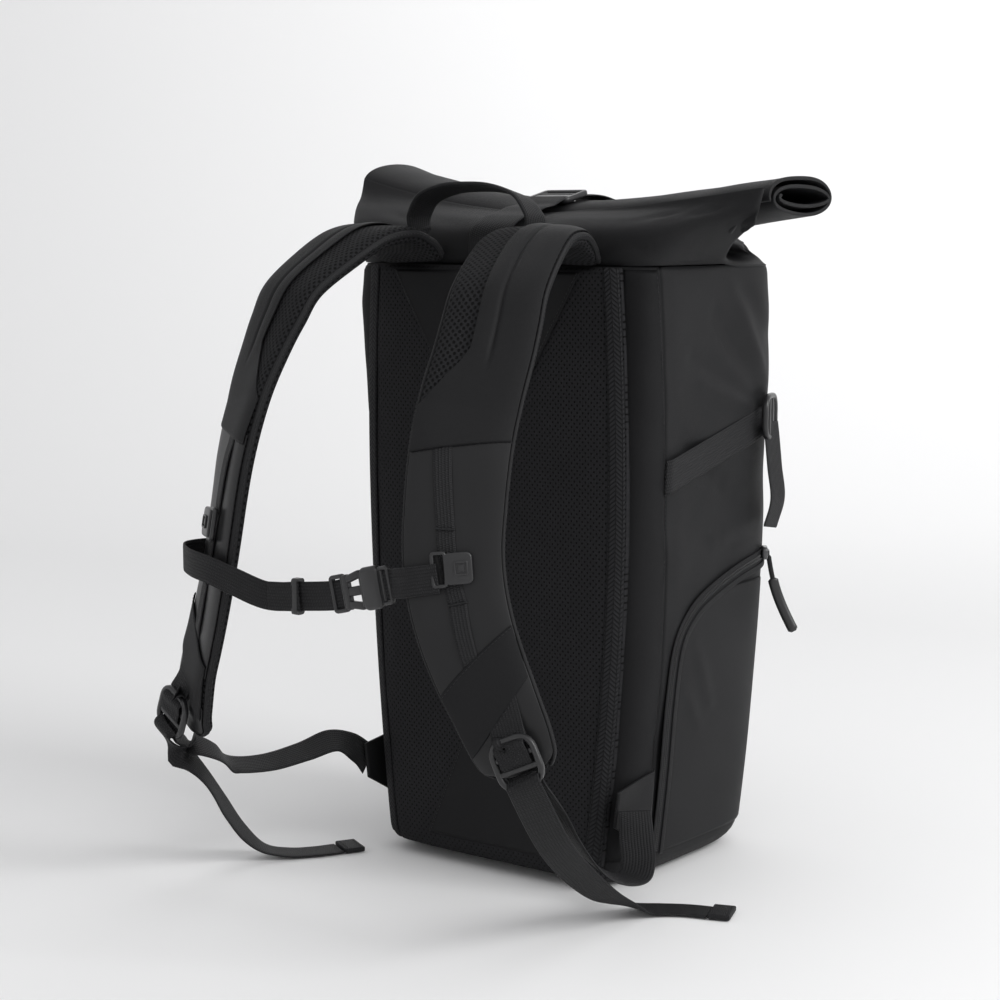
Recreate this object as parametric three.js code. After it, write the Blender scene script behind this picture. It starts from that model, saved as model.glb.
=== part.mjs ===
// A rolltop backpack with its straps hanging as it stands on a table.
// Millimetres, +Z up. The wearer's side faces -Y and +X is to the right of a viewer who looks at that side.
// The origin is the middle of the flat base.
import * as THREE from "three";

// Driving dimensions of the pack body
const RIM_HEIGHT = 455;
const RIM_HALF_WIDTH = 139;
const WAIST_HALF_WIDTH = 129;
const BASE_HALF_WIDTH = 111;
const BACK_HALF_DEPTH = 94;
const RIM_FRONT_DEPTH = 92;
const WAIST_FRONT_DEPTH = 108;
const BASE_FRONT_DEPTH = 99;
const BODY_WALL = 4;
const BASE_EDGE_RADIUS = 20;
const SQUARENESS = 6;
const BODY_SIDES = 32;
const GAP = 0.3;

// Back panel
const PAD_THICKNESS = 9;
const PAD_EDGE_THICKNESS = 4;
const PAD_RIM_HALF_WIDTH = 115;
const PAD_WAIST_HALF_WIDTH = 119;
const PAD_BASE_HALF_WIDTH = 98;
const PAD_BASE_HEIGHT = 8;
const PAD_GAP = 0.6;
const FACING_THICKNESS = 1.2;
const YOKE_HALF_WIDTH = 86;
const YOKE_POINT_HEIGHT = 312;
const LUMBAR_HALF_WIDTH = 55;
const LUMBAR_POINT_HEIGHT = 140;

// Collar and roll
const CLOTH = 2;
const RIDGE_HALF_LENGTH = 198;
const RIDGE_SHIFT = 7;
const RIDGE_YAW = 28;
const RIDGE_RISE = 37;
const RIDGE_Y = -54.5;
const LEFT_EAR_RISE = 31;
const RIGHT_EAR_RISE = 17;
const GUSSET_DEPTH = 44;
const COLLAR_SIDES = 44;
const ROLL_CENTRE_RISE = 31;
const ROLL_HALF_DEPTH = 47;
const ROLL_HALF_HEIGHT = 18.5;
const ROLL_TURNS = 2.1;
const ROLL_PITCH = 6;
const ROLL_LAYER = 4;

// Shoulder straps, by shares of these sizes
const STRAP_WIDTH = 66;
const STRAP_THICKNESS = 14;
const STRAP_ROOT_X = 68;
const STRAP_SPREAD = 83;
const STRAP_ROOT_Y = -98.5;
const STRAP_STAND_OFF = 173;
const STRAP_ROOT_Z = 458.3;
const STRAP_DROP = 331;
const LEFT_STRAP_DROP = 343;
const LAYER_GAP = 1;
const PANEL_THICKNESS = 1;
const RAIL_WIDTH = 13;
const RAIL_THICKNESS = 1.6;
const PATCH_THICKNESS = 1.2;

// Webbing and its hardware
const REACH = 100;
const WEB_WIDTH = 25;
const WEB_THICKNESS = 1.6;
const HEM_LENGTH = 16;
const HEM_THICKNESS = 4;
const LOCK_WIDTH = 35;
const LOCK_LENGTH = 36;
const LOCK_THICKNESS = 4.4;
const LOCK_RIM = 4.2;
const LOCK_BAR = 4;
const STERNUM_WEB = 20;
const BUCKLE_LENGTH = 25;
const BUCKLE_WIDTH = 30;
const BUCKLE_THICKNESS = 9;
const CLOSURE_WIDTH = 38;
const CLOSURE_WEB_THICKNESS = 1.8;
const HANDLE_RISE = 30;

// Side pocket and side straps
const SIDE_STRAP_SLOPE = 0.25;
const SIDE_STRAP_Z = 302;
const ZIP_BAND_WIDTH = 12;
const ZIP_BAND_THICKNESS = 2.4;
const DOOR_THICKNESS = 1.6;

const pack = new THREE.Group();

const clothBlack = new THREE.MeshStandardMaterial({ color: 0x1b1b1d, roughness: 0.85 });
const meshBlack = new THREE.MeshStandardMaterial({ color: 0x141415, roughness: 0.95 });
const webBlack = new THREE.MeshStandardMaterial({ color: 0x17171a, roughness: 0.8 });
const smoothBlack = new THREE.MeshStandardMaterial({ color: 0x202022, roughness: 0.55 });
const plasticBlack = new THREE.MeshStandardMaterial({ color: 0x19191b, roughness: 0.4 });
const metalDark = new THREE.MeshStandardMaterial({ color: 0x3a3b3d, roughness: 0.35, metalness: 0.8 });

function add(name, geometry, material) {
  const mesh = new THREE.Mesh(geometry, material.clone());
  mesh.name = name;
  pack.add(mesh);
  return mesh;
}

const mix = (from, to, share) => from + (to - from) * share;
const clamp = (value, low, high) => Math.min(high, Math.max(low, value));
const vec = (x, y, z) => new THREE.Vector3(x, y, z);

// A quadratic through a low, a middle and a high value at shares 0, 0.5 and 1.
function through(low, middle, high, share) {
  return low * (1 - share) * (1 - 2 * share) + 4 * middle * share * (1 - share) + high * share * (2 * share - 1);
}

// Six times the signed volume of an indexed mesh.
function signedVolume(points, faces) {
  let sum = 0;
  for (const [a, b, c] of faces) {
    sum += points[a].dot(points[b].clone().cross(points[c]));
  }
  return sum;
}

function closedGeometry(points, faces) {
  const outward = signedVolume(points, faces) > 0;
  const geometry = new THREE.BufferGeometry();
  geometry.setAttribute(
    "position",
    new THREE.Float32BufferAttribute(points.flatMap((p) => [p.x, p.y, p.z]), 3),
  );
  geometry.setIndex(faces.flatMap(([a, b, c]) => (outward ? [a, b, c] : [a, c, b])));
  geometry.computeVertexNormals();
  return geometry;
}

// Joins rings of equal size into one closed skin. Each end is closed by a strip between the first half of
// its ring and the second, which begin at a point of their own where the ring is pointed.
function loft(rings, pointed = false) {
  const size = rings[0].length;
  const points = rings.flat();
  const faces = [];
  for (let r = 0; r + 1 < rings.length; r++) {
    for (let i = 0; i < size; i++) {
      const j = (i + 1) % size;
      const a = r * size + i;
      const b = r * size + j;
      const c = (r + 1) * size + j;
      const d = (r + 1) * size + i;
      faces.push([a, b, c], [a, c, d]);
    }
  }
  const partner = (i) => (size - 1 - i + (pointed ? 1 : 0)) % size;
  const last = (rings.length - 1) * size;
  for (let i = 0; i < size / 2 - (pointed ? 0 : 1); i++) {
    const caps = [[i, partner(i + 1), i + 1], [i, partner(i), partner(i + 1)]];
    for (const [p, q, s] of caps) {
      if (p !== q && q !== s && s !== p) {
        faces.push([p, q, s], [last + p, last + s, last + q]);
      }
    }
  }
  return closedGeometry(points, faces);
}

function mirrored(geometry) {
  const copy = geometry.clone();
  copy.scale(-1, 1, 1);
  const places = copy.getAttribute("position").count;
  const index = copy.index ? Array.from(copy.index.array) : Array.from({ length: places }, (_, i) => i);
  for (let i = 0; i < index.length; i += 3) {
    [index[i + 1], index[i + 2]] = [index[i + 2], index[i + 1]];
  }
  copy.setIndex(index);
  copy.computeVertexNormals();
  return copy;
}

// Fills in a table of rows with x, y, z and other named columns: places follow a smooth curve, the
// other columns run straight from row to row.
function smoothTable(rows, count) {
  const curve = new THREE.CatmullRomCurve3(rows.map((row) => vec(row.x, row.y, row.z)), false, "centripetal");
  const filled = [];
  for (let k = 0; k <= count; k++) {
    const at = (k / count) * (rows.length - 1);
    const low = Math.min(Math.floor(at), rows.length - 2);
    const share = at - low;
    const place = curve.getPoint(k / count);
    const row = {};
    for (const column of Object.keys(rows[0])) {
      row[column] = mix(rows[low][column], rows[low + 1][column], share);
    }
    filled.push({ ...row, x: place.x, y: place.y, z: place.z });
  }
  return filled;
}

// The frame at each place of a path: along it, across it and out of its face.
function framesOf(places, acrosses) {
  return places.map((place, k) => {
    const before = places[Math.max(0, k - 1)];
    const after = places[Math.min(places.length - 1, k + 1)];
    const along = after.clone().sub(before).normalize();
    const across = acrosses[k].clone().addScaledVector(along, -acrosses[k].dot(along)).normalize();
    return { place, along, across, out: along.clone().cross(across) };
  });
}

// A flat band along a path, with square edges.
function bandFrom(frames, width, thickness) {
  const half = thickness / 2;
  return loft(
    frames.map((f) =>
      [[-1, 1], [1, 1], [1, -1], [-1, -1]].map(([side, face]) =>
        f.place.clone().addScaledVector(f.across, (side * width) / 2).addScaledVector(f.out, face * half),
      ),
    ),
  );
}

// Rows give the place of a band's middle line and ax, ay, az, the way that its width runs.
function band(rows, count, width, thickness) {
  const filled = smoothTable(rows, count);
  const places = filled.map((row) => vec(row.x, row.y, row.z));
  const acrosses = filled.map((row) => vec(row.ax, row.ay, row.az));
  return bandFrom(framesOf(places, acrosses), width, thickness);
}

// A plate over a surface: place(u, v, lift) with u and v from 0 to 1.
function plate(place, columns, rows, low, high) {
  const ring = (v) => {
    const points = [];
    for (let i = 0; i <= columns; i++) {
      points.push(place(i / columns, v, high));
    }
    for (let i = columns; i >= 0; i--) {
      points.push(place(i / columns, v, low));
    }
    return points;
  };
  const rings = [];
  for (let j = 0; j <= rows; j++) {
    rings.push(ring(j / rows));
  }
  return loft(rings);
}

// A flat outline with holes, extruded with its middle plane at z = 0.
function extruded(shape, thickness, bevel = 0.6) {
  const geometry = new THREE.ExtrudeGeometry(shape, {
    depth: thickness - 2 * bevel,
    bevelEnabled: true,
    bevelThickness: bevel,
    bevelSize: bevel,
    bevelOffset: -bevel,
    bevelSegments: 1,
    curveSegments: 2,
  });
  geometry.translate(0, 0, -(thickness - 2 * bevel) / 2);
  return geometry;
}

function roundedRectangle(path, x0, y0, x1, y1, radius) {
  path.moveTo(x0 + radius, y0);
  path.lineTo(x1 - radius, y0);
  path.absarc(x1 - radius, y0 + radius, radius, -Math.PI / 2, 0, false);
  path.lineTo(x1, y1 - radius);
  path.absarc(x1 - radius, y1 - radius, radius, 0, Math.PI / 2, false);
  path.lineTo(x0 + radius, y1);
  path.absarc(x0 + radius, y1 - radius, radius, Math.PI / 2, Math.PI, false);
  path.lineTo(x0, y0 + radius);
  path.absarc(x0 + radius, y0 + radius, radius, Math.PI, 1.5 * Math.PI, false);
  return path;
}

// A rectangular hole's outline.
function rectangle(x0, y0, x1, y1) {
  return new THREE.Path().setFromPoints([[x0, y0], [x1, y0], [x1, y1], [x0, y1]].map(([x, y]) => new THREE.Vector2(x, y)));
}

// Puts a geometry's x and y along across and along at a place.
function seat(geometry, place, across, along) {
  const normal = across.clone().cross(along).normalize();
  const matrix = new THREE.Matrix4().makeBasis(across, along, normal).setPosition(place);
  geometry.applyMatrix4(matrix);
  return geometry;
}

// Pack body: a hollow bag of rounded, crowned sections, flat below and open at the rim
function halfWidthAt(z) {
  return through(BASE_HALF_WIDTH, WAIST_HALF_WIDTH, RIM_HALF_WIDTH, clamp(z / RIM_HEIGHT, 0, 1));
}

function frontDepthAt(z) {
  return through(BASE_FRONT_DEPTH, WAIST_FRONT_DEPTH, RIM_FRONT_DEPTH, clamp(z / RIM_HEIGHT, 0, 1));
}

// How far the section draws in near the base, where the bag turns under.
function baseInset(z) {
  const below = clamp(1 - z / BASE_EDGE_RADIUS, 0, 1);
  return BASE_EDGE_RADIUS * (1 - Math.sqrt(1 - below * below));
}

const power = (value, exponent) => Math.sign(value) * Math.abs(value) ** exponent;

function bodySection(z, outset) {
  const inset = baseInset(z) - outset;
  const halfWidth = halfWidthAt(z) - inset;
  const points = [];
  for (let i = 0; i < BODY_SIDES; i++) {
    const angle = ((i + 0.5) / BODY_SIDES) * 2 * Math.PI;
    const side = Math.sin(angle);
    const depth = (side < 0 ? BACK_HALF_DEPTH : frontDepthAt(z)) - inset;
    points.push(vec(halfWidth * power(Math.cos(angle), 2 / SQUARENESS), depth * power(side, 2 / SQUARENESS), z));
  }
  return points;
}

// The outer skin's place over a point of the back or of the right side.
function backSkin(x, z, lift) {
  const halfWidth = halfWidthAt(z) - baseInset(z);
  const depth = BACK_HALF_DEPTH - baseInset(z);
  const share = clamp(Math.abs(x) / halfWidth, 0, 0.99);
  return vec(x, -depth * (1 - share ** SQUARENESS) ** (1 / SQUARENESS) - lift, z);
}

// A point of the right side, at an angle from the middle of that side towards the front.
function sideSkin(angle, z, lift) {
  const halfWidth = halfWidthAt(z) - baseInset(z);
  const side = Math.sin(angle);
  const depth = (side < 0 ? BACK_HALF_DEPTH : frontDepthAt(z)) - baseInset(z);
  const place = (turn) => {
    const across = Math.sin(turn);
    return vec(halfWidth * power(Math.cos(turn), 2 / SQUARENESS), depth * power(across, 2 / SQUARENESS), z);
  };
  const here = place(angle);
  const step = 0.02;
  const tangent = place(angle + step).sub(place(angle - step)).normalize();
  return here.add(vec(tangent.y, -tangent.x, 0).multiplyScalar(lift));
}

// The same, found by its depth y.
function sideSkinAt(y, z, lift) {
  const depth = (y < 0 ? BACK_HALF_DEPTH : frontDepthAt(z)) - baseInset(z);
  const share = clamp(Math.abs(y) / depth, 0, 0.995) ** (SQUARENESS / 2);
  return sideSkin(Math.sign(y) * Math.asin(share), z, lift);
}

function buildBody() {
  const turnUnder = [0, 0.07, 0.3, 0.65];
  const heights = turnUnder.map((share) => share * BASE_EDGE_RADIUS);
  const wallHeights = [BASE_EDGE_RADIUS, 90, 180, 270, 360];
  const outer = [...heights, ...wallHeights, RIM_HEIGHT].map((z) => bodySection(z, 0));
  const inner = [RIM_HEIGHT, ...wallHeights.slice().reverse(), BODY_WALL + 2].map((z) => {
    const ring = bodySection(Math.max(z, BASE_EDGE_RADIUS), -BODY_WALL);
    const floorInset = z < BASE_EDGE_RADIUS ? 1 - (2 * BODY_WALL) / BASE_HALF_WIDTH : 1;
    return ring.map((p) => vec(p.x * floorInset, p.y * floorInset, z));
  });
  add("pack_body", loft([...outer, ...inner]), clothBlack);
}

// Back panel: a padded mesh plate on the wearer's side with two smooth facings
function padHalfWidthAt(z) {
  return through(PAD_BASE_HALF_WIDTH, PAD_WAIST_HALF_WIDTH, PAD_RIM_HALF_WIDTH, z / RIM_HEIGHT);
}

function padThicknessAt(x, z) {
  const share = Math.abs(x) / padHalfWidthAt(z);
  return mix(PAD_THICKNESS, PAD_EDGE_THICKNESS, share ** 8);
}

function buildBackPanel() {
  const top = RIM_HEIGHT - GAP;
  const columns = 16;
  const place = (u, v, lift) => {
    const low = 0.3;
    const z = v < low ? mix(PAD_BASE_HEIGHT, BASE_EDGE_RADIUS, v / low) : mix(BASE_EDGE_RADIUS, top, (v - low) / (1 - low));
    const x = Math.sin((mix(-1, 1, u) * Math.PI) / 2) * padHalfWidthAt(z);
    return backSkin(x, z, PAD_GAP + lift * padThicknessAt(x, z));
  };
  add("back_pad", plate(place, columns, 10, 0, 1), meshBlack);

  const onPad = (x, z, lift) => {
    const skin = backSkin(x, z, 0);
    return vec(x, skin.y - PAD_GAP - padThicknessAt(x, z) - lift, z);
  };
  const facing = (halfWidth, widest, point) => (u, v, lift) => {
    const z = mix(widest, point, v);
    return onPad(mix(-halfWidth, halfWidth, u) * mix(1, 0.06, v), z, lift);
  };
  const low = GAP + 0.15;
  const high = low + FACING_THICKNESS;
  add("yoke_facing", plate(facing(YOKE_HALF_WIDTH, top - 3, YOKE_POINT_HEIGHT), 6, 6, low, high), clothBlack);
  const lumbarBase = BASE_EDGE_RADIUS + 1;
  add("lumbar_facing", plate(facing(LUMBAR_HALF_WIDTH, lumbarBase, LUMBAR_POINT_HEIGHT), 6, 6, low, high), clothBlack);
}

// Collar: the sleeve above the rim, drawn flat to a ridge, with its two ends tucked in as gussets
function earRiseAt(x) {
  const share = Math.abs(x - RIDGE_SHIFT) / RIDGE_HALF_LENGTH;
  return (x < RIDGE_SHIFT ? LEFT_EAR_RISE : RIGHT_EAR_RISE) * share ** 1.6;
}

// How far the rolled top has swung forwards at x: its left end lies further from the wearer.
function yawAt(x) {
  const left = clamp((RIDGE_SHIFT + RIDGE_HALF_LENGTH - x) / (2 * RIDGE_HALF_LENGTH), 0, 1);
  return RIDGE_YAW * left ** 2;
}

// The collar's middle section, back and front, as depths and as shares of the rise to the ridge.
const collarRows = [
  { up: 0, backY: -94, backRise: 0, frontY: 92, frontRise: 0 },
  { up: 0.2, backY: -95, backRise: 0.36, frontY: 78, frontRise: 0.1 },
  { up: 0.4, backY: -92, backRise: 0.66, frontY: 55, frontRise: 0.2 },
  { up: 0.6, backY: -81, backRise: 0.84, frontY: 25, frontRise: 0.26 },
  { up: 0.8, backY: -68, backRise: 0.94, frontY: -14, frontRise: 0.24 },
  { up: 0.93, backY: -60, backRise: 0.99, frontY: -46, frontRise: 0.38 },
  { up: 1, backY: RIDGE_Y - CLOTH - 0.3, backRise: 1.02, frontY: RIDGE_Y + CLOTH + 0.3, frontRise: 0.98 },
];

function collarRing(row) {
  const centreY = (row.backY + row.frontY) / 2;
  const halfDepth = (row.frontY - row.backY) / 2;
  const flare = row.up ** 1.5;
  const halfLength = mix(RIM_HALF_WIDTH, RIDGE_HALF_LENGTH, flare);
  const points = [];
  for (let i = 0; i < COLLAR_SIDES; i++) {
    const angle = (i / COLLAR_SIDES) * 2 * Math.PI;
    const across = Math.cos(angle);
    const side = power(Math.sin(angle), 2 / SQUARENESS);
    const tuck = GUSSET_DEPTH * Math.sin(Math.PI * row.up) * (1 - Math.abs(side));
    const x = halfLength * power(across, mix(2 / SQUARENESS, 0.6, row.up)) + RIDGE_SHIFT * row.up;
    const rise = RIDGE_RISE * mix(row.backRise, row.frontRise, ((side + 1) / 2) ** 0.5) + earRiseAt(x) * row.up;
    const y = centreY + halfDepth * side + yawAt(x) * row.up ** 2;
    points.push(vec(x - Math.sign(across) * tuck * (Math.abs(across) > 0.5 ? 1 : 0), y, RIM_HEIGHT + GAP + rise));
  }
  return points;
}

// Moves a grid of rings inwards along its own normals.
function insetRings(rings, depth) {
  const size = rings[0].length;
  return rings.map((ring, r) =>
    ring.map((point, i) => {
      const around = ring[(i + 1) % size].clone().sub(ring[(i + size - 1) % size]);
      const above = rings[Math.min(r + 1, rings.length - 1)][i];
      const up = above.clone().sub(rings[Math.max(r - 1, 0)][i]);
      const normal = around.cross(up).normalize();
      if (r === 0) {
        normal.setZ(0).normalize();
      }
      return point.clone().addScaledVector(normal, -depth);
    }),
  );
}

function buildCollar() {
  const outer = collarRows.map(collarRing);
  const inner = insetRings(outer, CLOTH);
  add("collar", loft([...outer.slice().reverse(), ...inner], true), clothBlack);
}

// Roll: the flattened sleeve wound on itself, seen as a spiral at its ends
function rollCentreZ(x) {
  return RIM_HEIGHT + ROLL_CENTRE_RISE + earRiseAt(x);
}

// The height of the roll's top over the middle of the pack.
function rollTop(y) {
  return rollCentreZ(0) + ROLL_HALF_HEIGHT * Math.sqrt(1 - ((y - yawAt(0)) / ROLL_HALF_DEPTH) ** 2);
}

function rollSection(x) {
  const steps = 25;
  const layer = (offset) => {
    const points = [];
    for (let i = 0; i <= steps; i++) {
      const turn = (i / steps) * ROLL_TURNS;
      const angle = Math.PI * 1.05 - turn * 2 * Math.PI;
      const lost = ROLL_PITCH * turn + offset;
      const halfDepth = ROLL_HALF_DEPTH - lost;
      const halfHeight = ROLL_HALF_HEIGHT - lost;
      points.push(vec(x, yawAt(x) + halfDepth * Math.cos(angle), rollCentreZ(x) + halfHeight * Math.sin(angle)));
    }
    return points;
  };
  return [...layer(0), ...layer(ROLL_LAYER).reverse()];
}

function buildRoll() {
  const stations = [-1, -0.8, -0.55, -0.25, 0, 0.25, 0.55, 0.8, 1];
  const sections = stations.map((share) => rollSection(RIDGE_SHIFT + share * RIDGE_HALF_LENGTH));
  add("roll", loft(sections), clothBlack);
}

// Closure: webbing up the back of the collar, a hook buckle on the roll and webbing down the front
const closureBackRows = [
  { y: -96.2, rise: 0.005 },
  { y: -97, rise: 0.36 },
  { y: -94, rise: 0.7 },
  { y: -80.5, rise: 0.91 },
  { y: -64, rise: 1.02 },
  { y: -53, rise: 1.11 },
  { y: -42, rise: 1.16 },
  { y: -34, rise: 1.24 },
];
const CLOSURE_FRONT_LENGTH = 96;

function buildClosure() {
  const across = { ax: 1, ay: 0, az: 0 };
  const backRows = closureBackRows.map((row) => ({ x: 0, y: row.y, z: RIM_HEIGHT + RIDGE_RISE * row.rise, ...across }));
  add("closure_web_back", band(backRows, 12, CLOSURE_WIDTH, CLOSURE_WEB_THICKNESS), webBlack);

  const lift = CLOSURE_WEB_THICKNESS / 2 + 0.5;
  const frontRows = [4, 18, 32, 44].map((y) => ({ x: 0, y, z: rollTop(y) + lift + 0.4, ...across }));
  const rimY = RIM_FRONT_DEPTH + lift + 0.6;
  frontRows.push({ x: 0, y: yawAt(0) + ROLL_HALF_DEPTH + 5.2, z: rollCentreZ(0) - 2, ...across });
  frontRows.push({ x: 0, y: mix(yawAt(0) + ROLL_HALF_DEPTH, rimY, 0.6), z: RIM_HEIGHT + 14, ...across });
  frontRows.push({ x: 0, y: rimY + 1.5, z: RIM_HEIGHT, ...across });
  for (const share of [0.3, 0.65, 1]) {
    const z = RIM_HEIGHT - share * CLOSURE_FRONT_LENGTH;
    frontRows.push({ x: 0, y: frontDepthAt(z) + lift + 0.3, z, ...across });
  }
  add("closure_web_front", band(frontRows, 22, CLOSURE_WIDTH, CLOSURE_WEB_THICKNESS), webBlack);

  const plateShape = roundedRectangle(new THREE.Shape(), -20, -15, 20, 15, 4);
  plateShape.holes.push(rectangle(-15, 5, 15, 10));
  const hook = extruded(plateShape, 4);
  const slope = Math.atan2(rollTop(-6) - rollTop(-26), 20);
  const along = vec(0, Math.cos(slope), Math.sin(slope));
  seat(hook, vec(0, -16, rollTop(-16) + 2.7), vec(1, 0, 0), along);
  add("closure_buckle", hook, plasticBlack);
}

// Shoulder straps: places, width, thickness and splay in degrees, as shares of the named sizes
const strapRows = [
  { out: 0, spread: 0, fall: 0, width: 0.8, thick: 0.3, splay: 0 },
  { out: 0.035, spread: 0.01, fall: -0.008, width: 0.92, thick: 0.6, splay: 0 },
  { out: 0.102, spread: 0.035, fall: -0.033, width: 1, thick: 0.95, splay: 0 },
  { out: 0.205, spread: 0.08, fall: -0.052, width: 1.03, thick: 1.05, splay: 2 },
  { out: 0.338, spread: 0.133, fall: -0.042, width: 1.03, thick: 1.05, splay: 6 },
  { out: 0.488, spread: 0.217, fall: 0.003, width: 1.03, thick: 1.05, splay: 10 },
  { out: 0.627, spread: 0.307, fall: 0.06, width: 1.02, thick: 1.05, splay: 15 },
  { out: 0.697, spread: 0.345, fall: 0.12, width: 1.02, thick: 1.05, splay: 19 },
  { out: 0.76, spread: 0.368, fall: 0.18, width: 1.01, thick: 1, splay: 23 },
  { out: 0.835, spread: 0.38, fall: 0.254, width: 1, thick: 1, splay: 27 },
  { out: 0.893, spread: 0.385, fall: 0.33, width: 0.99, thick: 0.98, splay: 30 },
  { out: 0.934, spread: 0.4, fall: 0.404, width: 0.98, thick: 0.96, splay: 31 },
  { out: 0.963, spread: 0.413, fall: 0.479, width: 0.97, thick: 0.94, splay: 32 },
  { out: 0.986, spread: 0.433, fall: 0.554, width: 0.96, thick: 0.92, splay: 32 },
  { out: 0.997, spread: 0.482, fall: 0.629, width: 0.95, thick: 0.9, splay: 32 },
  { out: 0.997, spread: 0.566, fall: 0.704, width: 0.93, thick: 0.88, splay: 31 },
  { out: 0.986, spread: 0.68, fall: 0.779, width: 0.9, thick: 0.86, splay: 30 },
  { out: 0.968, spread: 0.814, fall: 0.853, width: 0.86, thick: 0.84, splay: 28 },
  { out: 0.94, spread: 0.934, fall: 0.928, width: 0.82, thick: 0.82, splay: 26 },
  { out: 0.92, spread: 0.985, fall: 0.965, width: 0.74, thick: 0.78, splay: 25 },
  { out: 0.908, spread: 1.01, fall: 0.99, width: 0.5, thick: 0.6, splay: 25 },
];

function strapFramesFor(drop) {
  const places = strapRows.map((row) =>
    vec(
      STRAP_ROOT_X + row.spread * STRAP_SPREAD,
      STRAP_ROOT_Y - row.out * STRAP_STAND_OFF,
      STRAP_ROOT_Z - row.fall * drop,
    ),
  );
  const acrosses = strapRows.map((row) => {
    const splay = THREE.MathUtils.degToRad(row.splay);
    return vec(Math.cos(splay), Math.sin(splay), 0);
  });
  return framesOf(places, acrosses);
}

const rightStrap = strapFramesFor(STRAP_DROP);
const leftStrap = strapFramesFor(LEFT_STRAP_DROP);

// Half a strap's section, as shares of its half width and half thickness.
const strapSection = [
  { across: -1, out: 0.35 },
  { across: -0.88, out: 1 },
  { across: 0.88, out: 1 },
  { across: 1, out: 0.35 },
];

// A point of the right strap: row counts along its table, across runs from -1 to 1 over its width.
function onStrap(strap, row, across, lift) {
  const low = Math.min(Math.floor(row), strapRows.length - 2);
  const share = row - low;
  const at = (k) => {
    const frame = strap[k];
    const halfWidth = (STRAP_WIDTH * strapRows[k].width) / 2;
    const halfThickness = (STRAP_THICKNESS * strapRows[k].thick) / 2;
    return frame.place
      .clone()
      .addScaledVector(frame.across, across * halfWidth)
      .addScaledVector(frame.out, halfThickness + lift);
  };
  return at(low).lerp(at(low + 1), share);
}

function strapFrameAt(strap, row) {
  const low = Math.min(Math.floor(row), strap.length - 2);
  const share = row - low;
  const across = strap[low].across.clone().lerp(strap[low + 1].across, share).normalize();
  const along = strap[low].along.clone().lerp(strap[low + 1].along, share).normalize();
  return { across, along, out: along.clone().cross(across).normalize() };
}

const PANEL_FIRST_ROW = 10;
const RAIL_FIRST_ROW = 10;
const RAIL_LAST_ROW = 15.6;
const RAIL_ACROSS = -0.12;

function strapPad(strap) {
  return loft(
    strap.map((frame, k) => {
      const halfWidth = (STRAP_WIDTH * strapRows[k].width) / 2;
      const halfThickness = (STRAP_THICKNESS * strapRows[k].thick) / 2;
      const point = (row, face) =>
        frame.place
          .clone()
          .addScaledVector(frame.across, row.across * halfWidth)
          .addScaledVector(frame.out, face * row.out * halfThickness);
      return [...strapSection.map((row) => point(row, 1)), ...strapSection.toReversed().map((row) => point(row, -1))];
    }),
  );
}

// A layer on the strap's face between two rows of the strap's table at its left and its right edge.
function strapLayer(strap, leftRows, rightRows, halfAcross, low, high, steps) {
  const place = (u, v, lift) => {
    const first = mix(leftRows[0], rightRows[0], u);
    const last = mix(leftRows[1], rightRows[1], u);
    return onStrap(strap, mix(first, last, v), mix(-halfAcross, halfAcross, u), lift);
  };
  return plate(place, 6, steps, low, high);
}

function strapRail(strap) {
  const steps = 2 * Math.round(RAIL_LAST_ROW - RAIL_FIRST_ROW);
  const low = LAYER_GAP + GAP + PANEL_THICKNESS;
  const halfShare = RAIL_WIDTH / STRAP_WIDTH;
  const place = (u, v, lift) =>
    onStrap(strap, mix(RAIL_FIRST_ROW, RAIL_LAST_ROW, v), RAIL_ACROSS + mix(-halfShare, halfShare, u), lift);
  return plate(place, 1, steps, low, low + RAIL_THICKNESS);
}

// Ladder lock: a frame with two bars
function ladderLock() {
  const halfWidth = LOCK_WIDTH / 2;
  const halfLength = LOCK_LENGTH / 2;
  const shape = roundedRectangle(new THREE.Shape(), -halfWidth, -halfLength, halfWidth, halfLength, 7);
  const inner = halfWidth - LOCK_RIM;
  const slot = (LOCK_LENGTH - 2 * LOCK_RIM - 2 * LOCK_BAR) / 3;
  for (let k = 0; k < 3; k++) {
    const y = -halfLength + LOCK_RIM + k * (slot + LOCK_BAR);
    shape.holes.push(rectangle(-inner, y, inner, y + slot));
  }
  return extruded(shape, LOCK_THICKNESS);
}

// Where the lock hangs on the right, and how it is turned
const lockPlace = { row: 18.6, across: 0.14, lift: 10.6, facing: 12, lean: 24 };

function lockFrame(strap) {
  const facing = THREE.MathUtils.degToRad(lockPlace.facing);
  const lean = THREE.MathUtils.degToRad(lockPlace.lean);
  const level = vec(Math.cos(facing), Math.sin(facing), 0);
  const across = level.clone().multiplyScalar(Math.cos(lean)).add(vec(0, 0, Math.sin(lean)));
  const along = level.clone().multiplyScalar(Math.sin(lean)).add(vec(0, 0, -Math.cos(lean)));
    const place = onStrap(strap, lockPlace.row, lockPlace.across, lockPlace.lift);
  return { place, across, along, out: along.clone().cross(across) };
}

// Short webbing that comes from under the patch and ends behind the lock.
function adjusterWeb(strap, frame) {
  const start = onStrap(strap, 17.3, 0, 4.7);
  const end = frame.place.clone().addScaledVector(frame.along, -LOCK_LENGTH / 2 - 5.4);
  const root = strapFrameAt(strap, 17.3);
  const middle = start.clone().lerp(end, 0.5);
  const rows = [start, middle, end].map((place, k) => {
    const across = root.across.clone().lerp(frame.across, k / 2);
    return { x: place.x, y: place.y, z: place.z, ax: across.x, ay: across.y, az: across.z };
  });
  return band(rows, 4, WEB_WIDTH - 3, WEB_THICKNESS);
}

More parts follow.
